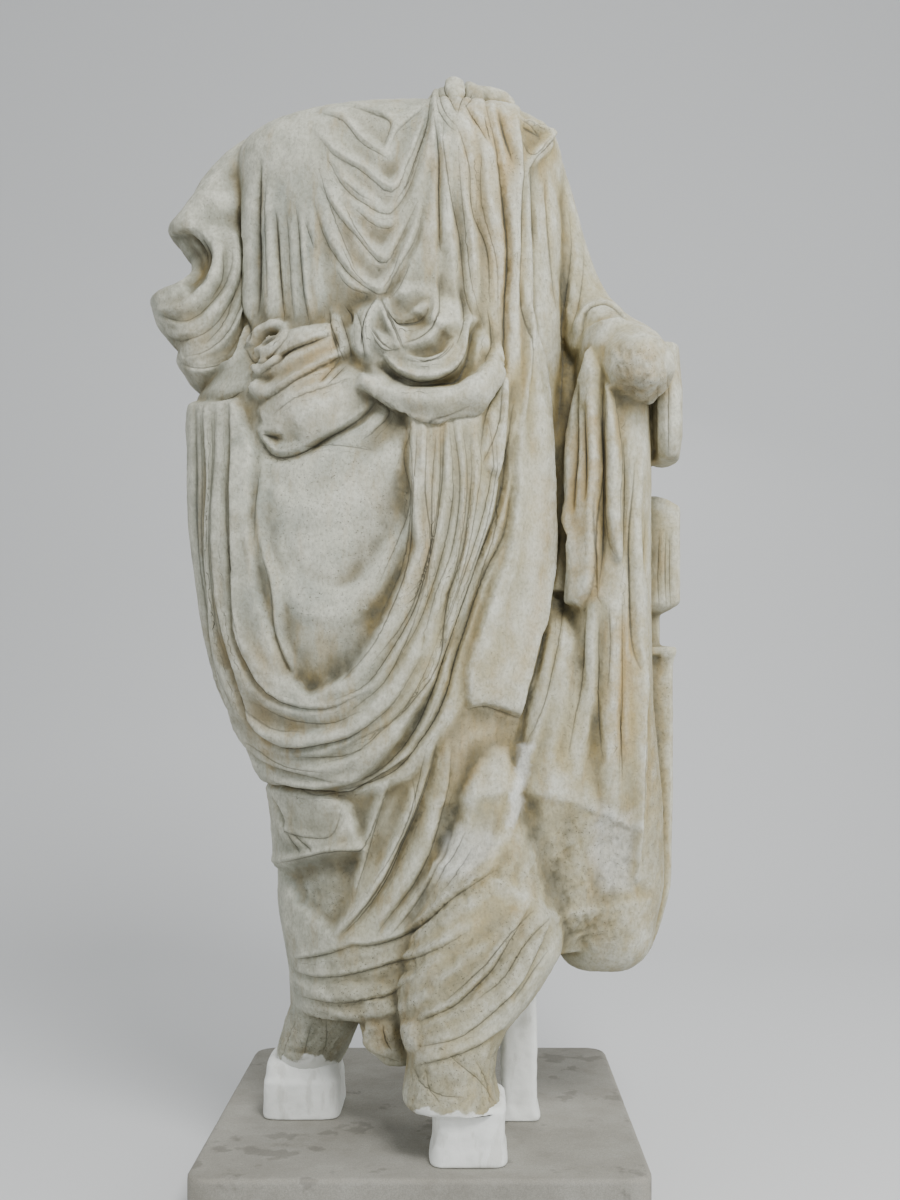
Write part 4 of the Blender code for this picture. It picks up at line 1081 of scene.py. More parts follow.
print(len(SIDE_EDGES) + len(SIDE_GROOVES) + len(SIDE_FOLDS), "marks on the left side")


# %% Marks on the skirt and the hem
SKIRT_EDGES = (
    (12, 6, 6, (272, 776), (295, 786), (344, 790), (361, 784), (389, 767), (412, 754)),
    (7, 4, 3, (279, 793), (291, 817), (294, 830), (332, 836), (346, 803)),
    (10, 6, 5, (279, 862), (312, 855), (344, 849), (361, 848), (373, 826), (386, 790)),
    (14, 7, 9, (338, 938), (361, 914), (386, 878), (404, 838), (426, 781), (437, 738)),
    (10, 5, 4, (354, 896), (361, 871), (371, 838), (381, 807), (390, 778)),
    (12, 5, 5, (374, 936), (386, 919), (414, 883), (434, 838), (447, 785), (449, 750)),
    (10, 4, 3, (388, 935), (414, 905), (436, 870), (448, 830)),
    (16, 7, 5, (348, 944), (373, 944), (400, 934), (427, 919), (455, 896), (496, 868)),
    (7, 3, 3, (409, 822), (414, 800), (411, 778)),
    (10, 4, 4, (293, 957), (328, 953), (353, 945)),
    (12, 5, 4, (294, 971), (344, 975), (386, 963), (436, 950), (470, 930)),
    (12, 5, 4, (300, 996), (340, 1002), (380, 996), (410, 982)),
    (14, 6, 6, (418, 1022), (454, 1004), (486, 974), (512, 936), (528, 908)),
    (12, 5, 5, (420, 1046), (464, 1034), (500, 1004), (530, 966), (548, 920)),
    (10, 5, 4, (420, 1064), (474, 1048), (500, 1030)),
    (9, 5, 5, (366, 1020), (366, 1044), (378, 1055), (400, 1062)),
)
SKIRT_GROOVES = (
    (3.4, 8, (437, 742), (426, 781), (404, 838), (384, 880), (360, 914), (338, 938)),
    (2.4, 5, (426, 752), (408, 818), (393, 854), (373, 883)),
    (2.2, 4, (293, 830), (306, 854)),
    (2.2, 4, (297, 830), (318, 852)),
    (2.2, 4, (463, 832), (446, 866), (436, 887)),
    (2.2, 3, (470, 848), (452, 880), (444, 890)),
    (2.6, 5, (444, 1002), (475, 975), (512, 934), (536, 907)),
    (2.6, 5, (475, 1002), (501, 979), (532, 936), (550, 916)),
    (2.4, 4, (511, 1000), (526, 981), (548, 950)),
    (3.0, 6, (384, 1024), (386, 1040), (392, 1052)),
    (2.4, 5, (400, 1022), (402, 1040), (404, 1054)),
    (1.8, 3, (424, 1070), (428, 1090), (440, 1104)),
    (1.8, 3, (476, 1062), (487, 1082), (492, 1104)),
    (1.8, 3, (448, 1052), (466, 1070), (486, 1088), (498, 1108)),
    (1.8, 3, (412, 1066), (420, 1084), (440, 1096), (462, 1098)),
    (1.8, 2, (296, 1018), (287, 1040), (279, 1062)),
    (1.8, 3, (312, 1022), (306, 1046), (302, 1064)),
    (1.8, 2, (327, 1020), (328, 1042), (321, 1060)),
)
SKIRT_FOLDS = (
    (8, 4, (282, 966), (300, 984), (350, 990), (400, 976)),
    (8, 4, (366, 905), (388, 866), (404, 820), (418, 780)),
    (8, 4, (376, 925), (402, 884), (424, 836), (436, 790)),
    (9, 4, (430, 1014), (466, 988), (500, 950), (520, 920)),
    (9, 4, (430, 1038), (472, 1018), (510, 984), (538, 940)),
)
print(len(SKIRT_EDGES) + len(SKIRT_GROOVES) + len(SKIRT_FOLDS), "marks on the skirt")


# %% Carve the front
def with_route(rows):
    """Marks whose numbers come first and whose route follows, as the marks' own arguments."""
    for row in rows:
        numbers = [value for value in row if not isinstance(value, tuple)]
        yield even_route(row[len(numbers) :]), numbers


def line_rows(*tables):
    """Edges or grooves, which fade at their ends by themselves."""
    return [(route, *numbers) for rows in tables for route, numbers in with_route(rows)]


def fold_rows(*tables):
    """Folds whose width and height fade at their ends."""
    folds = [fold for rows in tables for fold in with_route(rows)]
    return [(route, half * ENDS, height * ENDS) for route, (half, height) in folds]


def fan_rows(sets):
    return [numbers_and_guides for _, *numbers_and_guides in sets]


BROAD_SHARE = 0.62
FINE_SHARE = 0.75
EDGE_TABLES = (CHEST_EDGES, BELT_EDGES, SWAG_EDGES, SIDE_EDGES, SKIRT_EDGES)
GROOVE_TABLES = (CHEST_GROOVES, BELT_GROOVES, SWAG_GROOVES, SIDE_GROOVES, SKIRT_GROOVES)
FOLD_TABLES = (CHEST_FOLDS, BELT_FOLDS, SWAG_FOLDS, SIDE_FOLDS, SKIRT_FOLDS)
skin_points, _ = mesh_points(figure)
squares = unsteady(drawn_place(skin_points), skin_points)
# The squares are kept on the skin, because the finish draws its dark lines on the same routes
keep(figure, "column", squares[:, 0])
keep(figure, "row", squares[:, 1])
carve(figure, squares, facing_the_eye(figure), (1.0, (("layer", SHEETS),)), (BROAD_SHARE, (
    ("fan", fan_rows(FOLDS)),
    ("fold", fold_rows(RIDGES)),
)), (FINE_SHARE, (
    ("fold", fold_rows(*FOLD_TABLES)),
    ("edge", line_rows(*EDGE_TABLES)),
    ("groove", line_rows(*GROOVE_TABLES)),
)))
print("front carved:", sum(len(table) for table in EDGE_TABLES + GROOVE_TABLES + FOLD_TABLES), "fine marks")


# %% [markdown]
# Nobody sees the back of such a statue in its niche, so carvers left it plain: broad folds run
# from the left shoulder down to the right hip, and straight ones hang below them.

# %% Carve the back
# Sets of folds at the back, with columns and rows as seen straight through from the front
BACK_FOLDS = (
    ("back, slanting", 0.35, 0.9, 8, (
        ((486, 128), (400, 230), (300, 350), (222, 470)),
        ((520, 140), (470, 330), (360, 540), (250, 700)),
        ((545, 170), (535, 400), (480, 640), (350, 850), (292, 930)),
    )),
    ("back, right shoulder", 0.3, 0.9, 5, (
        ((440, 134), (360, 190), (270, 240)),
        ((410, 128), (330, 152), (262, 182)),
    )),
    ("back, lower", 0.22, 0.9, 5, (
        ((372, 700), (385, 850), (385, 985)),
        ((510, 480), (525, 740), (515, 960)),
    )),
    ("back, arm fall", 0.35, 0.9, 4, (
        ((572, 380), (566, 600), (560, 900)),
        ((632, 380), (634, 600), (640, 900)),
    )),
)
skin_points, _ = mesh_points(figure)
squares = unsteady(flat_place(skin_points), skin_points)
carve(figure, squares, facing_back(figure), (1.0, (("fan", fan_rows(BACK_FOLDS)),)))
print("back carved:", len(BACK_FOLDS), "sets of folds")

# %% [markdown]
# Two thousand years have broken this marble. The neck is a rough hollow where the head was let in,
# the sleeve's end and the forearm's stump are broken faces, and the layer of cloth over the shins
# has flaked away to coarse stone. Elsewhere the surface is slightly uneven, as weather leaves it.
# Each broken area is an outline on the drawing with unevenness inside it.

# %% Broken areas
# Each area: how wide its border is, how rough it is, then its outline as columns and rows
BROKEN = (
    (24, 1.6, ((432, 872), (462, 850), (520, 846), (560, 800), (600, 792), (640, 800), (648, 880), (640, 950),
               (560, 965), (530, 900), (500, 900), (460, 930), (420, 960), (380, 955))),
    (14, 1.1, ((330, 946), (440, 938), (520, 900), (560, 930), (500, 1020), (420, 1062), (372, 1052),
               (300, 1010))),
    (8, 1.3, ((284, 868), (362, 853), (356, 884), (338, 934), (298, 906))),
    (10, 1.7, ((608, 346), (630, 338), (662, 350), (672, 384), (656, 410), (616, 404))),
    (7, 1.2, ((270, 1006), (344, 1008), (344, 1068), (262, 1068))),
    (7, 1.2, ((402, 1062), (440, 1052), (500, 1036), (508, 1118), (404, 1112))),
    (6, 0.5, ((160, 300), (190, 292), (204, 330), (180, 360), (160, 340))),
    (6, 0.5, ((262, 436), (300, 428), (330, 418), (320, 440), (280, 456))),
    (8, 0.4, ((346, 100), (440, 90), (446, 128), (390, 150), (350, 128))),
    (8, 0.9, ((648, 640), (674, 640), (668, 880), (650, 950), (640, 900))),
    (6, 0.6, ((190, 392), (250, 388), (250, 412), (196, 416))),
    (8, 0.6, ((480, 690), (520, 700), (520, 740), (466, 730))),
)
# The hollow of the neck: its place, and how far it reaches across, back and down, in squares
NECK_MIDDLE = (394, 124, -4)
NECK_REACH = (40, 34, 16)
NECK_UNEVEN = 0.12
# Unevenness: the size of its lumps in metres, its height in squares and a number for its pattern
GRAIN = ((0.034, 0.30, 31), (0.014, 0.22, 32), (0.008, 0.14, 33))
BREAKAGE = ((0.045, 0.7, 41), (0.017, 0.5, 42), (0.0085, 0.5, 43))
GRAIN_SHARE = 0.55
BREAK_CREST = 0.9
BREAK_LEVEL = 0.4


def roughness(points, sizes):
    """Unevenness of several sizes added up, each a size, a height and a number that sets its pattern."""
    return sum(height * waves(points, size, seed, 9) for size, height, seed in sizes)


def weather(mesh):
    points, _ = mesh_points(mesh)
    normals = steady_normals(mesh, 3)
    sight = points - np.array(EYE)
    facing = (sight * normals).sum(axis=1) < 0
    relief = Relief(drawn_place(points))
    broken = np.zeros(len(points))
    for border, height, outline in BROKEN:
        broken = np.maximum(broken, relief.area(outline, border) * height * facing)
    # A break leaves flats and sharp steps, so the unevenness is folded over at its crests
    coarse = BREAK_CREST - np.abs(roughness(points, BREAKAGE))
    move = roughness(points, GRAIN) * GRAIN_SHARE + broken * (coarse - BREAK_LEVEL)
    points += normals * (move * UNIT)[:, None]

    middle = np.array(placed(*NECK_MIDDLE))
    reach = np.array(NECK_REACH) * UNIT
    flat = (points[:, :2] - middle[:2]) / reach[:2]
    inside = (flat**2).sum(axis=1)
    uneven = 1 + NECK_UNEVEN * roughness(points, BREAKAGE)
    floor_height = middle[2] - reach[2] * np.sqrt(np.clip(1 - inside, 0, 1)) * uneven
    sunk = (inside < 1) & (points[:, 2] > floor_height) & (points[:, 2] > middle[2] - 2 * reach[2])
    points[sunk, 2] = floor_height[sunk]
    move_points(mesh, points)


weather(figure)
print("broken areas:", len(BROKEN))


# %% Thin the skin to its budget
MARBLE_TRIANGLES = 194_000
NEAR_SIDE = 0.5
FAR_LOSS = 2e-5


def thinned(mesh):
    """The mesh at its budget, with its far side thinned more than the side that the eye sees."""
    holder = bpy.data.objects.new("holder", mesh)
    hidden = holder.vertex_groups.new(name="far_side")
    amount = np.round(1 - NEAR_SIDE * facing_the_eye(mesh), 1)
    for level in np.unique(amount):
        hidden.add(np.flatnonzero(amount == level).tolist(), float(level), "REPLACE")
    bpy.data.objects.remove(holder)
    return mesh_after(mesh, ("DECIMATE", {
        "ratio": MARBLE_TRIANGLES / (2 * len(mesh.vertices)),
        "vertex_group": "far_side",
        "vertex_group_factor": FAR_LOSS,
    }))


figure = thinned(figure)
print(len(figure.polygons), "triangles in the marble")

# %% Flat seats on the plaster
BLOCK_SEAT = 48 * UNIT
FOOT_SEAT = 47 * UNIT
LEG_PARTING = 380


def flatten_seats(mesh):
    """The legs end level where the plaster takes over."""
    points, _ = mesh_points(mesh)
    right_leg = points[:, 0] < placed(LEG_PARTING, FLOOR_ROW).x
    seat = SLAB_THICKNESS + np.where(right_leg, BLOCK_SEAT, FOOT_SEAT)
    points[:, 2] = np.maximum(points[:, 2], seat)
    move_points(mesh, points)


flatten_seats(figure)

# %% [markdown]
# What the eye takes for old marble is partly where the dirt lies and partly painted light and shade.
# Ochre dirt and painted shade darken the hollows, crests are painted pale for wear and a highlight,
# faces turned down get painted shade, some areas get painted shade and others painted light, ochre
# runs below the cloth's ends, and fresh breaks stay grey. These are worked out from the carved skin
# itself and kept as attributes for the finish.

# %% Attributes for the finish
LINE_NAMES = ("first_lines", "second_lines", "third_lines", "fourth_lines")
LINE_REACH = 7.0
LINE_FADE = 3.5
# Smoothing passes, and the depth in metres that counts as a full hollow
HOLLOW_SIZES = ((4, 0.0006), (24, 0.0026), (110, 0.009))
HOLLOW_WEIGHTS = (0.3, 0.75, 0.5)
CREST_WEIGHTS = (-0.5, -0.7, -0.2)
MOST_HOLLOW = 1.2
# The marble is warmer from the middle to its left side, between these columns
WARM_FROM = (400, 580)
# Areas: how wide the soft border is, how strong, then the outline as columns and rows
STAINED = (
    (30, 1.0, ((340, 1000), (430, 1010), (440, 1060), (360, 1064))),
    (40, 0.8, ((640, 360), (690, 360), (684, 470), (640, 470))),
    (26, 0.6, ((430, 700), (530, 700), (520, 800), (440, 800))),
    (40, 0.6, ((240, 330), (360, 300), (370, 420), (262, 450))),
    (30, 0.8, ((600, 345), (660, 340), (670, 400), (620, 410))),
    (40, 0.6, ((196, 600), (300, 640), (300, 770), (240, 760))),
    (50, 0.7, ((640, 640), (680, 640), (670, 960), (630, 960))),
    (16, 0.6, ((408, 430), (440, 430), (440, 560), (420, 610), (380, 620), (404, 560), (416, 500))),
    (12, 0.8, ((556, 440), (606, 400), (612, 600), (580, 612), (566, 560))),
    (16, 0.8, ((526, 470), (552, 480), (540, 640), (520, 690), (500, 690), (520, 600))),
    (14, 0.7, ((600, 620), (640, 600), (636, 760), (600, 770))),
    (14, 0.6, ((455, 80), (520, 110), (526, 330), (500, 420), (486, 300), (450, 180))),
    (30, 0.5, ((150, 290), (200, 290), (236, 360), (190, 400))),
    (16, 0.9, ((608, 342), (664, 340), (676, 400), (640, 412), (610, 400))),
)
MENDED = (
    (4, 1.0, ((521, 738), (536, 742), (526, 790), (520, 830), (506, 828), (512, 780))),
    (14, 0.7, ((590, 800), (642, 806), (640, 900), (600, 896), (586, 850))),
    (10, 0.7, ((448, 822), (501, 832), (512, 840), (494, 858), (468, 882), (436, 886), (436, 854))),
)
SMEARED = (
    (12, 1.0, ((240, 1050), (300, 1054), (322, 1046), (344, 1062), (350, 1100), (240, 1100))),
    (9, 1.0, ((400, 1106), (424, 1103), (450, 1110), (480, 1106), (512, 1112), (520, 1170), (400, 1170))),
)
# Areas painted darker as painted shade: the viewer's left side, which the light reaches least, and the hem
SHADED_AREAS = (
    (16, 0.9, ((150, 160), (250, 160), (256, 410), (190, 410), (150, 360))),
    (24, 0.6, ((176, 400), (262, 400), (262, 600), (300, 700), (250, 780), (200, 680))),
    (24, 0.6, ((266, 780), (400, 780), (370, 900), (340, 1000), (270, 1000))),
    (20, 0.5, ((250, 340), (330, 330), (345, 380), (300, 440), (250, 440))),
    (20, 0.4, ((440, 960), (570, 880), (560, 980), (500, 1060), (400, 1110), (400, 1010))),
)
# Areas painted paler as painted light: the thigh, chest, band, arm fall and shin, which catch the most light
LIT_AREAS = (
    (40, 1.0, ((262, 450), (340, 440), (410, 430), (408, 540), (360, 660), (300, 660), (262, 560))),
    (24, 0.5, ((300, 150), (420, 150), (410, 300), (340, 300))),
    (20, 0.6, ((500, 460), (556, 450), (548, 640), (520, 700), (480, 690), (510, 560))),
    (14, 0.7, ((624, 440), (640, 440), (640, 640), (620, 640))),
    (16, 0.6, ((430, 830), (500, 800), (510, 850), (460, 900), (400, 930))),
)
SPECKLED = (
    (50, 1.0, ((240, 420), (420, 420), (430, 600), (340, 690), (250, 640))),
    (40, 0.6, ((440, 100), (560, 120), (560, 330), (450, 330))),
)
PAINTED = {
    "rough": BROKEN,
    "stain": STAINED,
    "mend": MENDED,
    "speckle": SPECKLED,
    "smear": SMEARED,
    "painted_shade": SHADED_AREAS,
    "painted_light": LIT_AREAS,
}


def hollowness(mesh):
    """How far each point lies below the skin smoothed over three sizes, each from about -1 to 1."""
    points, _ = mesh_points(mesh)
    normals = steady_normals(mesh, 3)
    means = neighbour_means(mesh)
    smooth = points.copy()
    done = 0
    found = []
    for passes, depth in HOLLOW_SIZES:
        for _ in range(passes - done):
            smooth = np.column_stack([means(smooth[:, axis]) for axis in range(3)])
        done = passes
        depths = np.tanh(((smooth - points) * normals).sum(axis=1) / depth)
        found.append(means(means(depths)))
    return found


def weighed(depths, weights, most=MOST_HOLLOW):
    return np.clip(sum(weight * depth for weight, depth in zip(weights, depths)), 0, most)


def cut_lines():
    """Every cut line: its route, half its width, how dark it is and how far beside the route it lies."""
    for route, numbers in with_route(row for table in GROOVE_TABLES for row in table):
        yield route, 0.55 + 0.22 * numbers[0], min(0.25 + numbers[1] / 10, 1.0), 0.0
    for route, numbers in with_route(row for table in EDGE_TABLES for row in table):
        yield route, 1.1, min(0.2 + numbers[2] / 9, 1.0), 0.1 * numbers[0]


def nearest_gap(route, others):
    return min((np.linalg.norm(route[:, None] - other, axis=2).min() for other in others), default=1e9)


def paint_lines(mesh, places, facing):
    """Keeps how far each point is beside the nearest cut line, which stays sharp between the points.

    Lines close together go under different names, so that one never hides the other.
    """
    steps = np.arange(ROUTE_STEPS)
    ends = np.sin(np.linspace(0, math.pi, ROUTE_STEPS)) ** 0.5
    relief = Relief(places)
    used = {name: [] for name in LINE_NAMES}
    beside = {name: np.full(len(places), LINE_REACH) for name in LINE_NAMES}
    dark = {name: np.zeros(len(places)) for name in LINE_NAMES}
    for route, half, strength, shift in cut_lines():
        gaps = {name: nearest_gap(route, used[name]) for name in LINE_NAMES}
        name = max(gaps, key=gaps.get)
        used[name].append(route)
        close = relief.near(route, LINE_REACH)
        away, along = beside_route(places[close], route)
        away = (away + shift) / half
        nearer = np.abs(away) < np.abs(beside[name][close])
        close, away, along = close[nearer], away[nearer], along[nearer]
        beside[name][close] = away
        fading = np.clip((LINE_REACH - np.abs(away)) / (LINE_REACH - LINE_FADE), 0, 1)
        dark[name][close] = strength * np.interp(along, steps, ends) * fading * facing[close]
    for name in LINE_NAMES:
        keep(mesh, name, beside[name])
        keep(mesh, name + "_dark", dark[name])


def paint_marble(mesh):
    points, _ = mesh_points(mesh)
    normals = steady_normals(mesh, 3)
    depths = hollowness(mesh)
    sight = points - np.array(EYE)
    facing = eased(-(sight * normals).sum(axis=1) / np.linalg.norm(sight, axis=1), -0.1, 0.2)
    places = np.column_stack([kept(mesh, "column"), kept(mesh, "row")])
    paint_lines(mesh, places, facing)
    relief = Relief(places + 2 * np.column_stack([waves(points, 0.03, 51), waves(points, 0.03, 52)]))
    # The hollows take ochre dirt and painted shade in the finish
    keep(mesh, "hollow", weighed(depths, HOLLOW_WEIGHTS))
    # Crests are painted pale in the finish, for wear and as a painted highlight
    keep(mesh, "crest", weighed(depths, CREST_WEIGHTS))
    for name, areas in PAINTED.items():
        amount = np.zeros(len(points))
        for border, strength, outline in areas:
            amount = np.maximum(amount, relief.area(outline, border) * min(strength, 1.0))
        keep(mesh, name, amount * facing)
    # Painted shade on the faces that turn down
    keep(mesh, "under", eased(-normals[:, 2], 0.05, 0.9))
    keep(mesh, "warm", eased(places[:, 0] + 0.12 * places[:, 1], *WARM_FROM))


paint_marble(figure)
figure.shade_smooth()
marble = bpy.data.objects.new("marble_figure_dressed", figure)
bpy.context.scene.collection.objects.link(marble)
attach(marble, "root")
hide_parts("marble_figure")
kept_names = [attribute.name for attribute in figure.attributes if attribute.data_type == "FLOAT"]
print("attributes:", ", ".join(kept_names))


# %% [markdown]
# The lower legs are lost, and a restorer has cast plaster in their place. The right leg stands on a
# rough block whose top was smeared up over the broken marble, the left foot on a lump shaped by
# hand, and a plain post holds up the hem behind. Each is a rounded block through a few levels,
# worked a little out of true with the same unevenness as real trowelled plaster.

# %% Plaster pieces
PLASTER_VOXEL = 0.0022
PLASTER_PASSES = 4
PLASTER_SQUARENESS = 6
PLASTER_WORKED = 0.0008
DENT_WEIGHTS = (0.3, 0.6, 0.4)
MOST_DENTED = 1.4
TROWELLED = ((0.060, 0.9, 61), (0.022, 0.4, 62), (0.009, 0.16, 63))


def block_box(name):
    """The middle, width, depth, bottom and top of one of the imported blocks."""
    low, high = (Vector(corner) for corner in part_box(name))
    return (low + high) / 2, high.x - low.x, high.y - low.y, low.z, high.z


def cast_block(name, levels, unevenness):
    """A cast block through the levels, each a height and a middle, width and depth, worked unevenly."""
    bm = bmesh.new()
    bmesh.ops.create_circle(bm, cap_ends=True, segments=48, radius=1)
    top = list(bm.faces)[0]
    turns = [math.atan2(vert.co.y, vert.co.x) for vert in top.verts]
    for number, (height, middle, width, depth) in enumerate(levels):
        if number:
            top = bmesh.ops.extrude_discrete_faces(bm, faces=[top])["faces"][0]
        for vert, turn in zip(top.verts, turns):
            across = math.copysign(abs(math.cos(turn)) ** (2 / PLASTER_SQUARENESS), math.cos(turn))
            deep = math.copysign(abs(math.sin(turn)) ** (2 / PLASTER_SQUARENESS), math.sin(turn))
            vert.co = (middle[0] + across * width / 2, middle[1] + deep * depth / 2, height)
    bmesh.ops.holes_fill(bm, edges=bm.edges)
    bmesh.ops.recalc_face_normals(bm, faces=bm.faces)
    mesh = mesh_after(
        finished_mesh(bm, name),
        ("REMESH", {"mode": "VOXEL", "voxel_size": PLASTER_VOXEL}),
        ("SMOOTH", {"factor": 0.5, "iterations": PLASTER_PASSES}),
    )
    points, normals = mesh_points(mesh)
    bottom = levels[0][0]
    held = eased(points[:, 2], bottom, bottom + 0.006)
    points += normals * (roughness(points, TROWELLED) * unevenness * held)[:, None]
    points[:, 2] = np.maximum(points[:, 2], bottom)
    move_points(mesh, points)
    mesh.shade_smooth()
    return mesh


def plaster_piece(node_name, levels, unevenness):
    mesh = cast_block(node_name, levels, unevenness)
    keep(mesh, "hollow", weighed(hollowness(mesh), DENT_WEIGHTS, MOST_DENTED))
    piece = bpy.data.objects.new(node_name + "_dressed", mesh)
    bpy.context.scene.collection.objects.link(piece)
    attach(piece, "root")
    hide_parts(node_name)
    return piece


# Each block's levels: how far over its foot, how much narrower than its foot, how much shallower
SHAPES = {
    "right_foot_plaster": (
        (0.0, 0.0, 0.0),
        (0.004, -0.001, -0.001),
        (0.057, 0.003, 0.003),
        (0.066, 0.008, 0.014),
        (0.084, 0.010, 0.026),
        (0.090, 0.024, 0.040),
    ),
    "left_foot_plaster": (
        (0.0, 0.0, 0.0),
        (0.004, 0.0, 0.0),
        (0.030, 0.010, 0.006),
        (0.060, 0.008, 0.006),
        (0.079, 0.004, 0.006),
        (0.085, 0.016, 0.016),
    ),
    "rear_plaster_prop": (
        (0.0, 0.0, 0.0),
        (0.006, 0.0, 0.0),
        (0.026, 0.009, 0.009),
        (0.120, 0.010, 0.009),
        (0.223, 0.011, 0.009),
    ),
}
plasters = []
for node_name, shape in SHAPES.items():
    middle, width, depth, low, high = block_box(node_name)
    levels = [
        (low + rise, middle, width - narrower, depth - shallower) for rise, narrower, shallower in shape
    ]
    plasters.append(plaster_piece(node_name, levels, PLASTER_WORKED))
for piece in plasters:
    print(piece.name, len(piece.data.polygons), "faces")


# %% [markdown]
# The slab is sawn and honed grey stone with a rounded corner at each side and worn edges. It is
# a cube with its upright corners and then all its edges rounded, cut finely enough for the edges
# to wander and to lose small chips.

# %% Stone slab
SLAB_CORNER = 0.035
SLAB_ARRIS = 0.004
SLAB_STEP = 0.005
WEAR = ((0.16, 0.30, 71), (0.045, 0.22, 72), (0.014, 0.14, 73))


def slab_piece():
    low, high = (Vector(corner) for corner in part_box("stone_slab"))
    size = high - low
    bm = bmesh.new()
    bmesh.ops.create_cube(bm, size=1)
    bmesh.ops.scale(bm, vec=size, verts=bm.verts)
    bmesh.ops.translate(bm, vec=(low + high) / 2, verts=bm.verts)
    upright = [edge for edge in bm.edges if abs(edge.verts[0].co.z - edge.verts[1].co.z) > size.z / 2]
    bmesh.ops.bevel(bm, geom=upright, offset=SLAB_CORNER, segments=8, affect="EDGES", profile=0.5,
                    material=-1)
    mesh = mesh_after(
        finished_mesh(bm, "stone_slab"),
        ("BEVEL", {"width": SLAB_ARRIS, "segments": 3, "limit_method": "ANGLE",
                   "angle_limit": math.radians(40)}),
        ("REMESH", {"mode": "VOXEL", "voxel_size": SLAB_STEP}),
        ("SMOOTH", {"factor": 0.5, "iterations": 2}),
    )
    points, normals = mesh_points(mesh)
    sharp = 1 - np.abs(normals).max(axis=1)
    edge = eased(sharp, 0.02, 0.2)
    wear = roughness(points, WEAR)
    held = eased(points[:, 2], low.z, low.z + 0.008)
    points -= normals * (held * (0.0002 * np.abs(wear) + edge * 0.0022 * np.clip(wear - 0.1, 0, 1)))[:, None]
    points[:, 2] = np.clip(points[:, 2], low.z, high.z)
    move_points(mesh, points)
    mesh.shade_smooth()
    keep(mesh, "edge", edge)
    piece = bpy.data.objects.new("stone_slab_dressed", mesh)
    bpy.context.scene.collection.objects.link(piece)
    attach(piece, "root")
    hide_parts("stone_slab")
    return piece


slab = slab_piece()
print("slab:", len(slab.data.polygons), "faces")


# %% [markdown]
# Finishes. Object coordinates are metres here, so a pattern's scale is one over its real size.
# The marble is fine-grained and was once white. It now has a thin ochre skin, ochre dirt and painted
# shade in the hollows, crests painted pale for wear and a highlight, and grey broken stone with dark specks.

# %% Finish helpers
def linear(code):
    """An sRGB hex colour as linear values with full alpha."""
    parts = [int(code[at : at + 2], 16) / 255 for at in (0, 2, 4)]
    return (*(part / 12.92 if part <= 0.04045 else ((part + 0.055) / 1.055) ** 2.4 for part in parts), 1.0)


def add(tree, kind, settings=(), **inputs):
    """A new node with its settings, and its inputs set or linked.

    An input goes by its name with _ for each space, or by n and its number where names repeat.
    """
    made = tree.nodes.new(kind)
    for name, value in dict(settings).items():
        setattr(made, name, value)
    for name, value in inputs.items():
        numbered = name[0] == "n" and name[1:].isdigit()
        socket = made.inputs[int(name[1:]) if numbered else name.replace("_", " ")]
        if isinstance(value, bpy.types.NodeSocket):
            tree.links.new(value, socket)
        else:
            socket.default_value = value
    return made


def new_finish(name):
    material = bpy.data.materials.new(name)
    material.use_nodes = True
    tree = material.node_tree
    shader = tree.nodes["Principled BSDF"]
    where = add(tree, "ShaderNodeTexCoord").outputs["Object"]
    return material, tree, shader, where


def lay_finish(tree, where, ground, layers, relief):
    """Colours laid one over the other, then relief too fine for the mesh.

    A layer has an attribute that holds it or none, the width of its patches in metres, how many
    times taller they are, how much of it shows in the thin and in the thick patches, and its colour.
    Relief has a size and a height.
    """
    colour = linear(ground)
    for source, size, tall, thin, thick, code in layers:
        drawn_out = add(tree, "ShaderNodeMapping", Vector=where, Scale=(1.0, 1.0, 1.0 / tall))
        patches = add(tree, "ShaderNodeTexNoise", Vector=drawn_out.outputs["Vector"], Scale=1 / size,
                      Detail=4.0, Roughness=0.6)
        spread = add(tree, "ShaderNodeMapRange", Value=patches.outputs["Fac"], From_Min=0.36, From_Max=0.64,
                     To_Min=thin, To_Max=thick)
        share = spread.outputs["Result"]
        if source:
            held = add(tree, "ShaderNodeAttribute", {"attribute_name": source})
            share = add(tree, "ShaderNodeMath", {"operation": "MULTIPLY", "use_clamp": True},
                        n0=share, n1=held.outputs["Fac"]).outputs[0]
        colour = add(tree, "ShaderNodeMix", {"data_type": "RGBA"}, n0=share, n6=colour,
                     n7=linear(code)).outputs[2]
    normal = None
    for size, height in relief:
        patches = add(tree, "ShaderNodeTexNoise", Vector=where, Scale=1 / size, Detail=3.0, Roughness=0.55)
        bump = add(tree, "ShaderNodeBump", Height=patches.outputs["Fac"], Distance=height, Strength=1.0)
        if normal is not None:
            tree.links.new(normal, bump.inputs["Normal"])
        normal = bump.outputs["Normal"]
    return colour, normal


print("mid grey in linear light:", [round(value, 3) for value in linear("808080")[:3]])


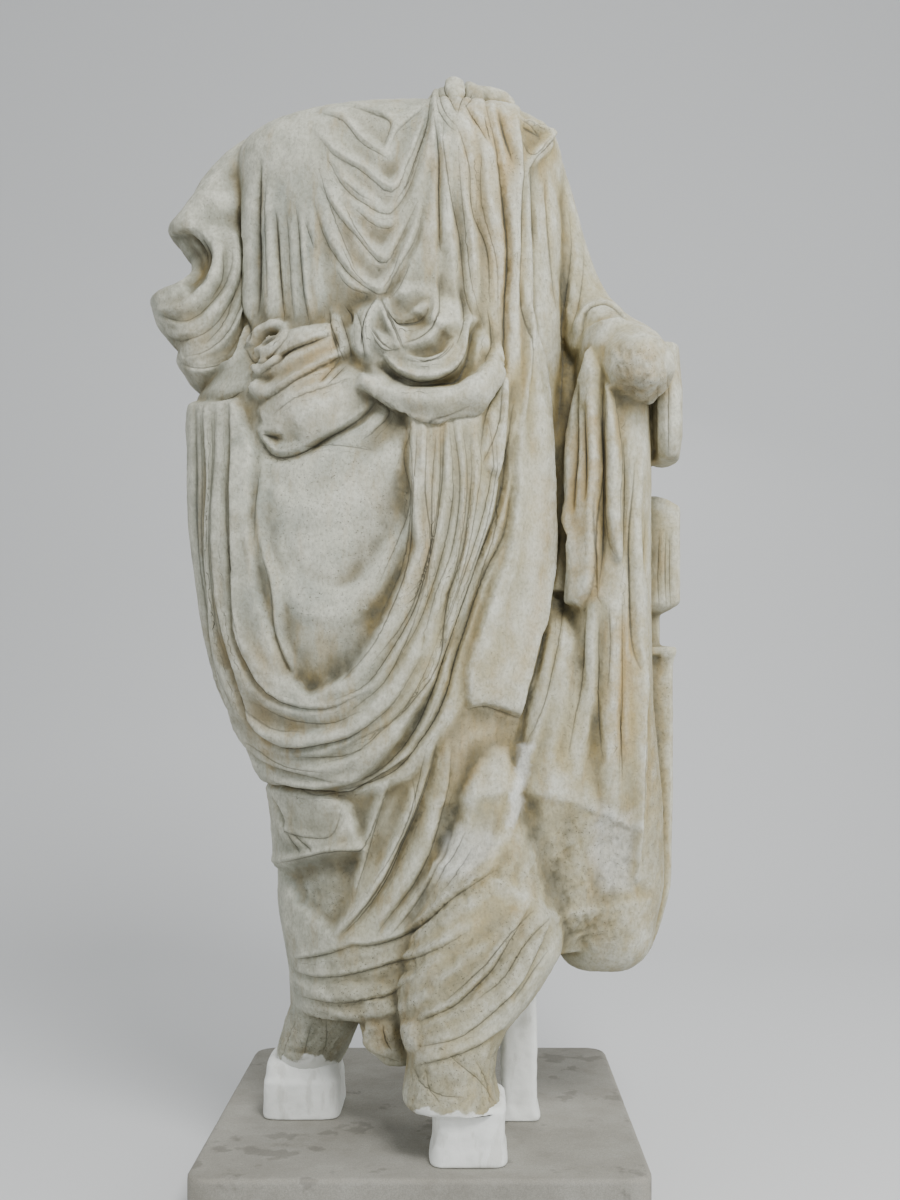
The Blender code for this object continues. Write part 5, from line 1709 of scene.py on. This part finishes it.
# %% Weathered marble
# Fine-grained white marble under an old skin: the eye reads cream and grey patches, crests painted
# pale for wear and a highlight, ochre dirt and painted brown-grey shade in the folds, painted shade in
# thin lines where the drill ran, and coarse grey stone where it broke. Its grain is about 1 mm, too
# fine for the render, and is drawn 2 mm wide.
# Painted shade in the thin lines: dark along the drill grooves and beside the cloth's edges
LINE_SHADE = "4C4A3E"
PIT_DIRT = "514C3E"
SMEARED_PLASTER = "E2E3DD"
MARBLE_GROUND = "A4A391"
MARBLE_LAYERS = (
    ("", 0.13, 1.0, 0.0, 1.0, "969B90"),
    ("", 0.050, 1.6, -0.2, 0.8, "B5B6A4"),
    ("warm", 0.10, 2.0, 0.4, 1.0, "AC9F74"),
    ("", 0.028, 5.0, -0.6, 0.45, "9D8550"),
    # Painted shade over the sleeve, the swag's left side, the skirt and the hem
    ("painted_shade", 0.07, 1.5, 0.4, 1.0, "80806F"),
    # Painted light on the parts that catch the most light
    ("painted_light", 0.05, 1.0, 0.2, 0.8, "D2D2C2"),
    ("stain", 0.05, 3.0, 0.35, 0.95, "B0935A"),
    ("hollow", 0.05, 2.0, 0.1, 0.8, "8A7746"),
    # Crests painted pale, partly for wear and partly as a painted highlight
    ("crest", 0.03, 1.0, 0.25, 0.85, "CFCFBF"),
    # Painted shade: the deepest hollows are darkened where shadow falls in them, over the ochre dirt above
    ("hollow", 0.03, 1.5, 0.25, 0.8, "4C4A3B"),
    ("rough", 0.02, 1.0, 0.1, 0.5, "8F8C78"),
    ("mend", 0.03, 1.0, 0.6, 0.9, "DADCD6"),
    # Painted shade on the faces that turn down, under the folds and overhangs
    ("under", 0.05, 1.0, 0.1, 0.5, "5A5645"),
    ("", 0.0045, 1.5, -0.1, 0.28, "6B6753"),
)
MARBLE_RELIEF = ((0.0022, 0.0005), (0.008, 0.0009), (0.03, 0.0012))
PIT_SIZE = 0.0026
SMEAR_SIZE = 0.012


def weathered_marble():
    material, tree, shader, where = new_finish("weathered_marble")
    colour, normal = lay_finish(tree, where, MARBLE_GROUND, MARBLE_LAYERS, MARBLE_RELIEF)
    # The cut lines are painted shade along the grooves and beside the edges
    for name in LINE_NAMES:
        beside = add(tree, "ShaderNodeAttribute", {"attribute_name": name})
        dark = add(tree, "ShaderNodeAttribute", {"attribute_name": name + "_dark"})
        away = add(tree, "ShaderNodeMath", {"operation": "ABSOLUTE"}, n0=beside.outputs["Fac"])
        line = add(tree, "ShaderNodeMapRange", {"interpolation_type": "SMOOTHSTEP"}, Value=away.outputs[0],
                   From_Min=1.0, From_Max=0.0)
        share = add(tree, "ShaderNodeMath", {"operation": "MULTIPLY"}, n0=line.outputs["Result"],
                    n1=dark.outputs["Fac"])
        colour = add(tree, "ShaderNodeMix", {"data_type": "RGBA"}, n0=share.outputs[0], n6=colour,
                     n7=linear(LINE_SHADE)).outputs[2]
        bump = add(tree, "ShaderNodeBump", {"invert": True}, Height=share.outputs[0], Distance=0.0012,
                   Strength=1.0, Normal=normal)
        normal = bump.outputs["Normal"]
    specks = add(tree, "ShaderNodeTexNoise", Vector=where, Scale=1 / PIT_SIZE, Detail=3.0, Roughness=0.6)
    pits = add(tree, "ShaderNodeMapRange", Value=specks.outputs["Fac"], From_Min=0.62, From_Max=0.68)
    pitted = add(tree, "ShaderNodeAttribute", {"attribute_name": "speckle"})
    broken = add(tree, "ShaderNodeAttribute", {"attribute_name": "rough"})
    share = add(tree, "ShaderNodeMath", {"operation": "MULTIPLY_ADD"}, n0=pitted.outputs["Fac"], n1=0.55,
                n2=0.12)
    share = add(tree, "ShaderNodeMath", {"operation": "MULTIPLY_ADD"}, n0=broken.outputs["Fac"], n1=0.7,
                n2=share.outputs[0])
    share = add(tree, "ShaderNodeMath", {"operation": "MULTIPLY", "use_clamp": True}, n0=share.outputs[0],
                n1=pits.outputs["Result"])
    colour = add(tree, "ShaderNodeMix", {"data_type": "RGBA"}, n0=share.outputs[0], n6=colour,
                 n7=linear(PIT_DIRT)).outputs[2]
    bump = add(tree, "ShaderNodeBump", {"invert": True}, Height=pits.outputs["Result"], Distance=0.0005,
               Strength=1.0, Normal=normal)
    smeared = add(tree, "ShaderNodeAttribute", {"attribute_name": "smear"})
    patches = add(tree, "ShaderNodeTexNoise", Vector=where, Scale=1 / SMEAR_SIZE, Detail=4.0, Roughness=0.55)
    ragged = add(tree, "ShaderNodeMath", {"operation": "ADD"}, n0=smeared.outputs["Fac"],
                 n1=patches.outputs["Fac"])
    share = add(tree, "ShaderNodeMapRange", Value=ragged.outputs[0], From_Min=0.95, From_Max=1.15)
    colour = add(tree, "ShaderNodeMix", {"data_type": "RGBA"}, n0=share.outputs["Result"], n6=colour,
                 n7=linear(SMEARED_PLASTER)).outputs[2]
    tree.links.new(colour, shader.inputs["Base Color"])
    tree.links.new(bump.outputs["Normal"], shader.inputs["Normal"])
    shader.inputs["Roughness"].default_value = 0.72
    shader.inputs["Specular IOR Level"].default_value = 0.32
    return material


figure.materials.append(weathered_marble())
print("marble finish on", marble.name)


# %% Restorer's plaster
# Casting plaster, trowelled and left bare: the eye reads a dry chalky white with grey smears
# and a little grey-brown in the dents.
PLASTER_GROUND = "F2F4EF"
PLASTER_LAYERS = (
    ("", 0.05, 1.0, 0.0, 1.0, "E8EAE5"),
    ("", 0.012, 1.0, 0.0, 0.4, "F8F9F5"),
    ("", 0.03, 3.0, -0.9, 0.35, "B9B8AC"),
    ("hollow", 0.05, 1.0, 0.4, 0.8, "9A9484"),
)
PLASTER_RELIEF = ((0.002, 0.00025), (0.014, 0.0008))


def bare_plaster():
    material, tree, shader, where = new_finish("bare_plaster")
    colour, normal = lay_finish(tree, where, PLASTER_GROUND, PLASTER_LAYERS, PLASTER_RELIEF)
    tree.links.new(colour, shader.inputs["Base Color"])
    tree.links.new(normal, shader.inputs["Normal"])
    shader.inputs["Roughness"].default_value = 0.92
    shader.inputs["Specular IOR Level"].default_value = 0.2
    return material


plaster = bare_plaster()
for piece in plasters:
    piece.data.materials.append(plaster)
print("plaster finish on", len(plasters), "pieces")


# %% Slab stone
# Grey sandstone, sawn and walked on: the eye reads a flat warm grey with fine grain, darker damp
# stains on its front and paler rubbed edges.
SLAB_GROUND = "A6A49B"
SLAB_LAYERS = (
    ("", 0.09, 1.0, 0.0, 1.0, "928F85"),
    ("", 0.02, 1.0, 0.0, 0.5, "9E9C92"),
    ("", 0.07, 1.0, -1.8, 0.4, "5C5951"),
    ("edge", 0.05, 1.0, 0.3, 0.6, "A09C90"),
    ("", 0.0016, 1.0, 0.0, 0.3, "504C44"),
)
SLAB_RELIEF = ((0.0016, 0.0003), (0.006, 0.0006))


def slab_stone():
    material, tree, shader, where = new_finish("slab_stone")
    colour, normal = lay_finish(tree, where, SLAB_GROUND, SLAB_LAYERS, SLAB_RELIEF)
    tree.links.new(colour, shader.inputs["Base Color"])
    tree.links.new(normal, shader.inputs["Normal"])
    shader.inputs["Roughness"].default_value = 0.85
    shader.inputs["Specular IOR Level"].default_value = 0.3
    return material


slab.data.materials.append(slab_stone())
print("slab finish on", slab.name)


# %% [markdown]
# The statue stands in the soft light of a high gallery window. Here a disk lamp in front, high and
# a little to the right, takes the window's place, and wide dim ones fill the sides. A plain pale
# floor curves up into a backdrop, and the sky's even light lets the folds' own shadows do the
# modelling.

# %% Floor
FLOOR_HALF = 3.0
FLOOR_CURVE = 1.2
floor_bm = bmesh.new()
bmesh.ops.create_grid(floor_bm, x_segments=2, y_segments=2, size=FLOOR_HALF)
floor_back = [edge for edge in floor_bm.edges if all(vert.co.y > FLOOR_HALF - 0.01 for vert in edge.verts)]
raised = bmesh.ops.extrude_edge_only(floor_bm, edges=floor_back)["geom"]
raised_verts = [part for part in raised if isinstance(part, bmesh.types.BMVert)]
bmesh.ops.translate(floor_bm, vec=(0, 0, 2 * FLOOR_HALF), verts=raised_verts)
bmesh.ops.bevel(floor_bm, geom=floor_back, offset=FLOOR_CURVE, segments=16, affect="EDGES", profile=0.5,
                material=-1)
floor_mesh = finished_mesh(floor_bm, "floor")
floor_mesh.shade_smooth()
floor = bpy.data.objects.new("floor", floor_mesh)
bpy.context.scene.collection.objects.link(floor)
floor_finish, floor_tree, floor_shader, floor_where = new_finish("floor_paint")
floor_shader.inputs["Base Color"].default_value = linear("DADBDB")
floor_shader.inputs["Roughness"].default_value = 0.95
floor_mesh.materials.append(floor_finish)
print("floor", 2 * FLOOR_HALF, "m wide")

# %% Light
SKY_LIGHT = 0.62
# Each lamp: its name, where it stands and how wide it is in metres, and its power in watts
LAMPS = (
    ("window", (1.0, -2.4, 3.4), 1.3, 124),
    ("room", (-2.6, -1.6, 1.5), 2.0, 14),
    ("hall", (2.7, -1.5, 1.2), 2.2, 40),
    ("back", (0.6, 2.2, 2.9), 1.6, 25),
)
AIM = Vector((0, 0, 0.9))
for name, place, size, power in LAMPS:
    lamp = bpy.data.objects.new(name, bpy.data.lights.new(name, "AREA"))
    lamp.data.shape = "DISK"
    lamp.data.size = size
    lamp.data.energy = power
    lamp.location = place
    lamp.rotation_euler = (AIM - Vector(place)).to_track_quat("-Z", "Y").to_euler()
    bpy.context.scene.collection.objects.link(lamp)
world = bpy.data.worlds.new("studio")
world.use_nodes = True
world.node_tree.nodes["Background"].inputs["Color"].default_value = linear("E2E5E8")
world.node_tree.nodes["Background"].inputs["Strength"].default_value = SKY_LIGHT
bpy.context.scene.world = world
print(len(LAMPS), "lamps")

# %% Camera
FRAME_COLUMNS, FRAME_ROWS = 900, 1200
LENS, SENSOR = 39, 36
camera = bpy.data.objects.new("camera", bpy.data.cameras.new("camera"))
camera.data.lens = LENS
camera.data.sensor_width = SENSOR
camera.location = EYE
camera.rotation_euler = (math.pi / 2, 0, 0)
camera.data.shift_x = (FRAME_COLUMNS / 2 - EYE_COLUMN) / FRAME_ROWS
camera.data.shift_y = (EYE_ROW - FRAME_ROWS / 2) / FRAME_ROWS
bpy.context.scene.collection.objects.link(camera)
bpy.context.scene.camera = camera
print("eye at", tuple(round(value, 3) for value in EYE))
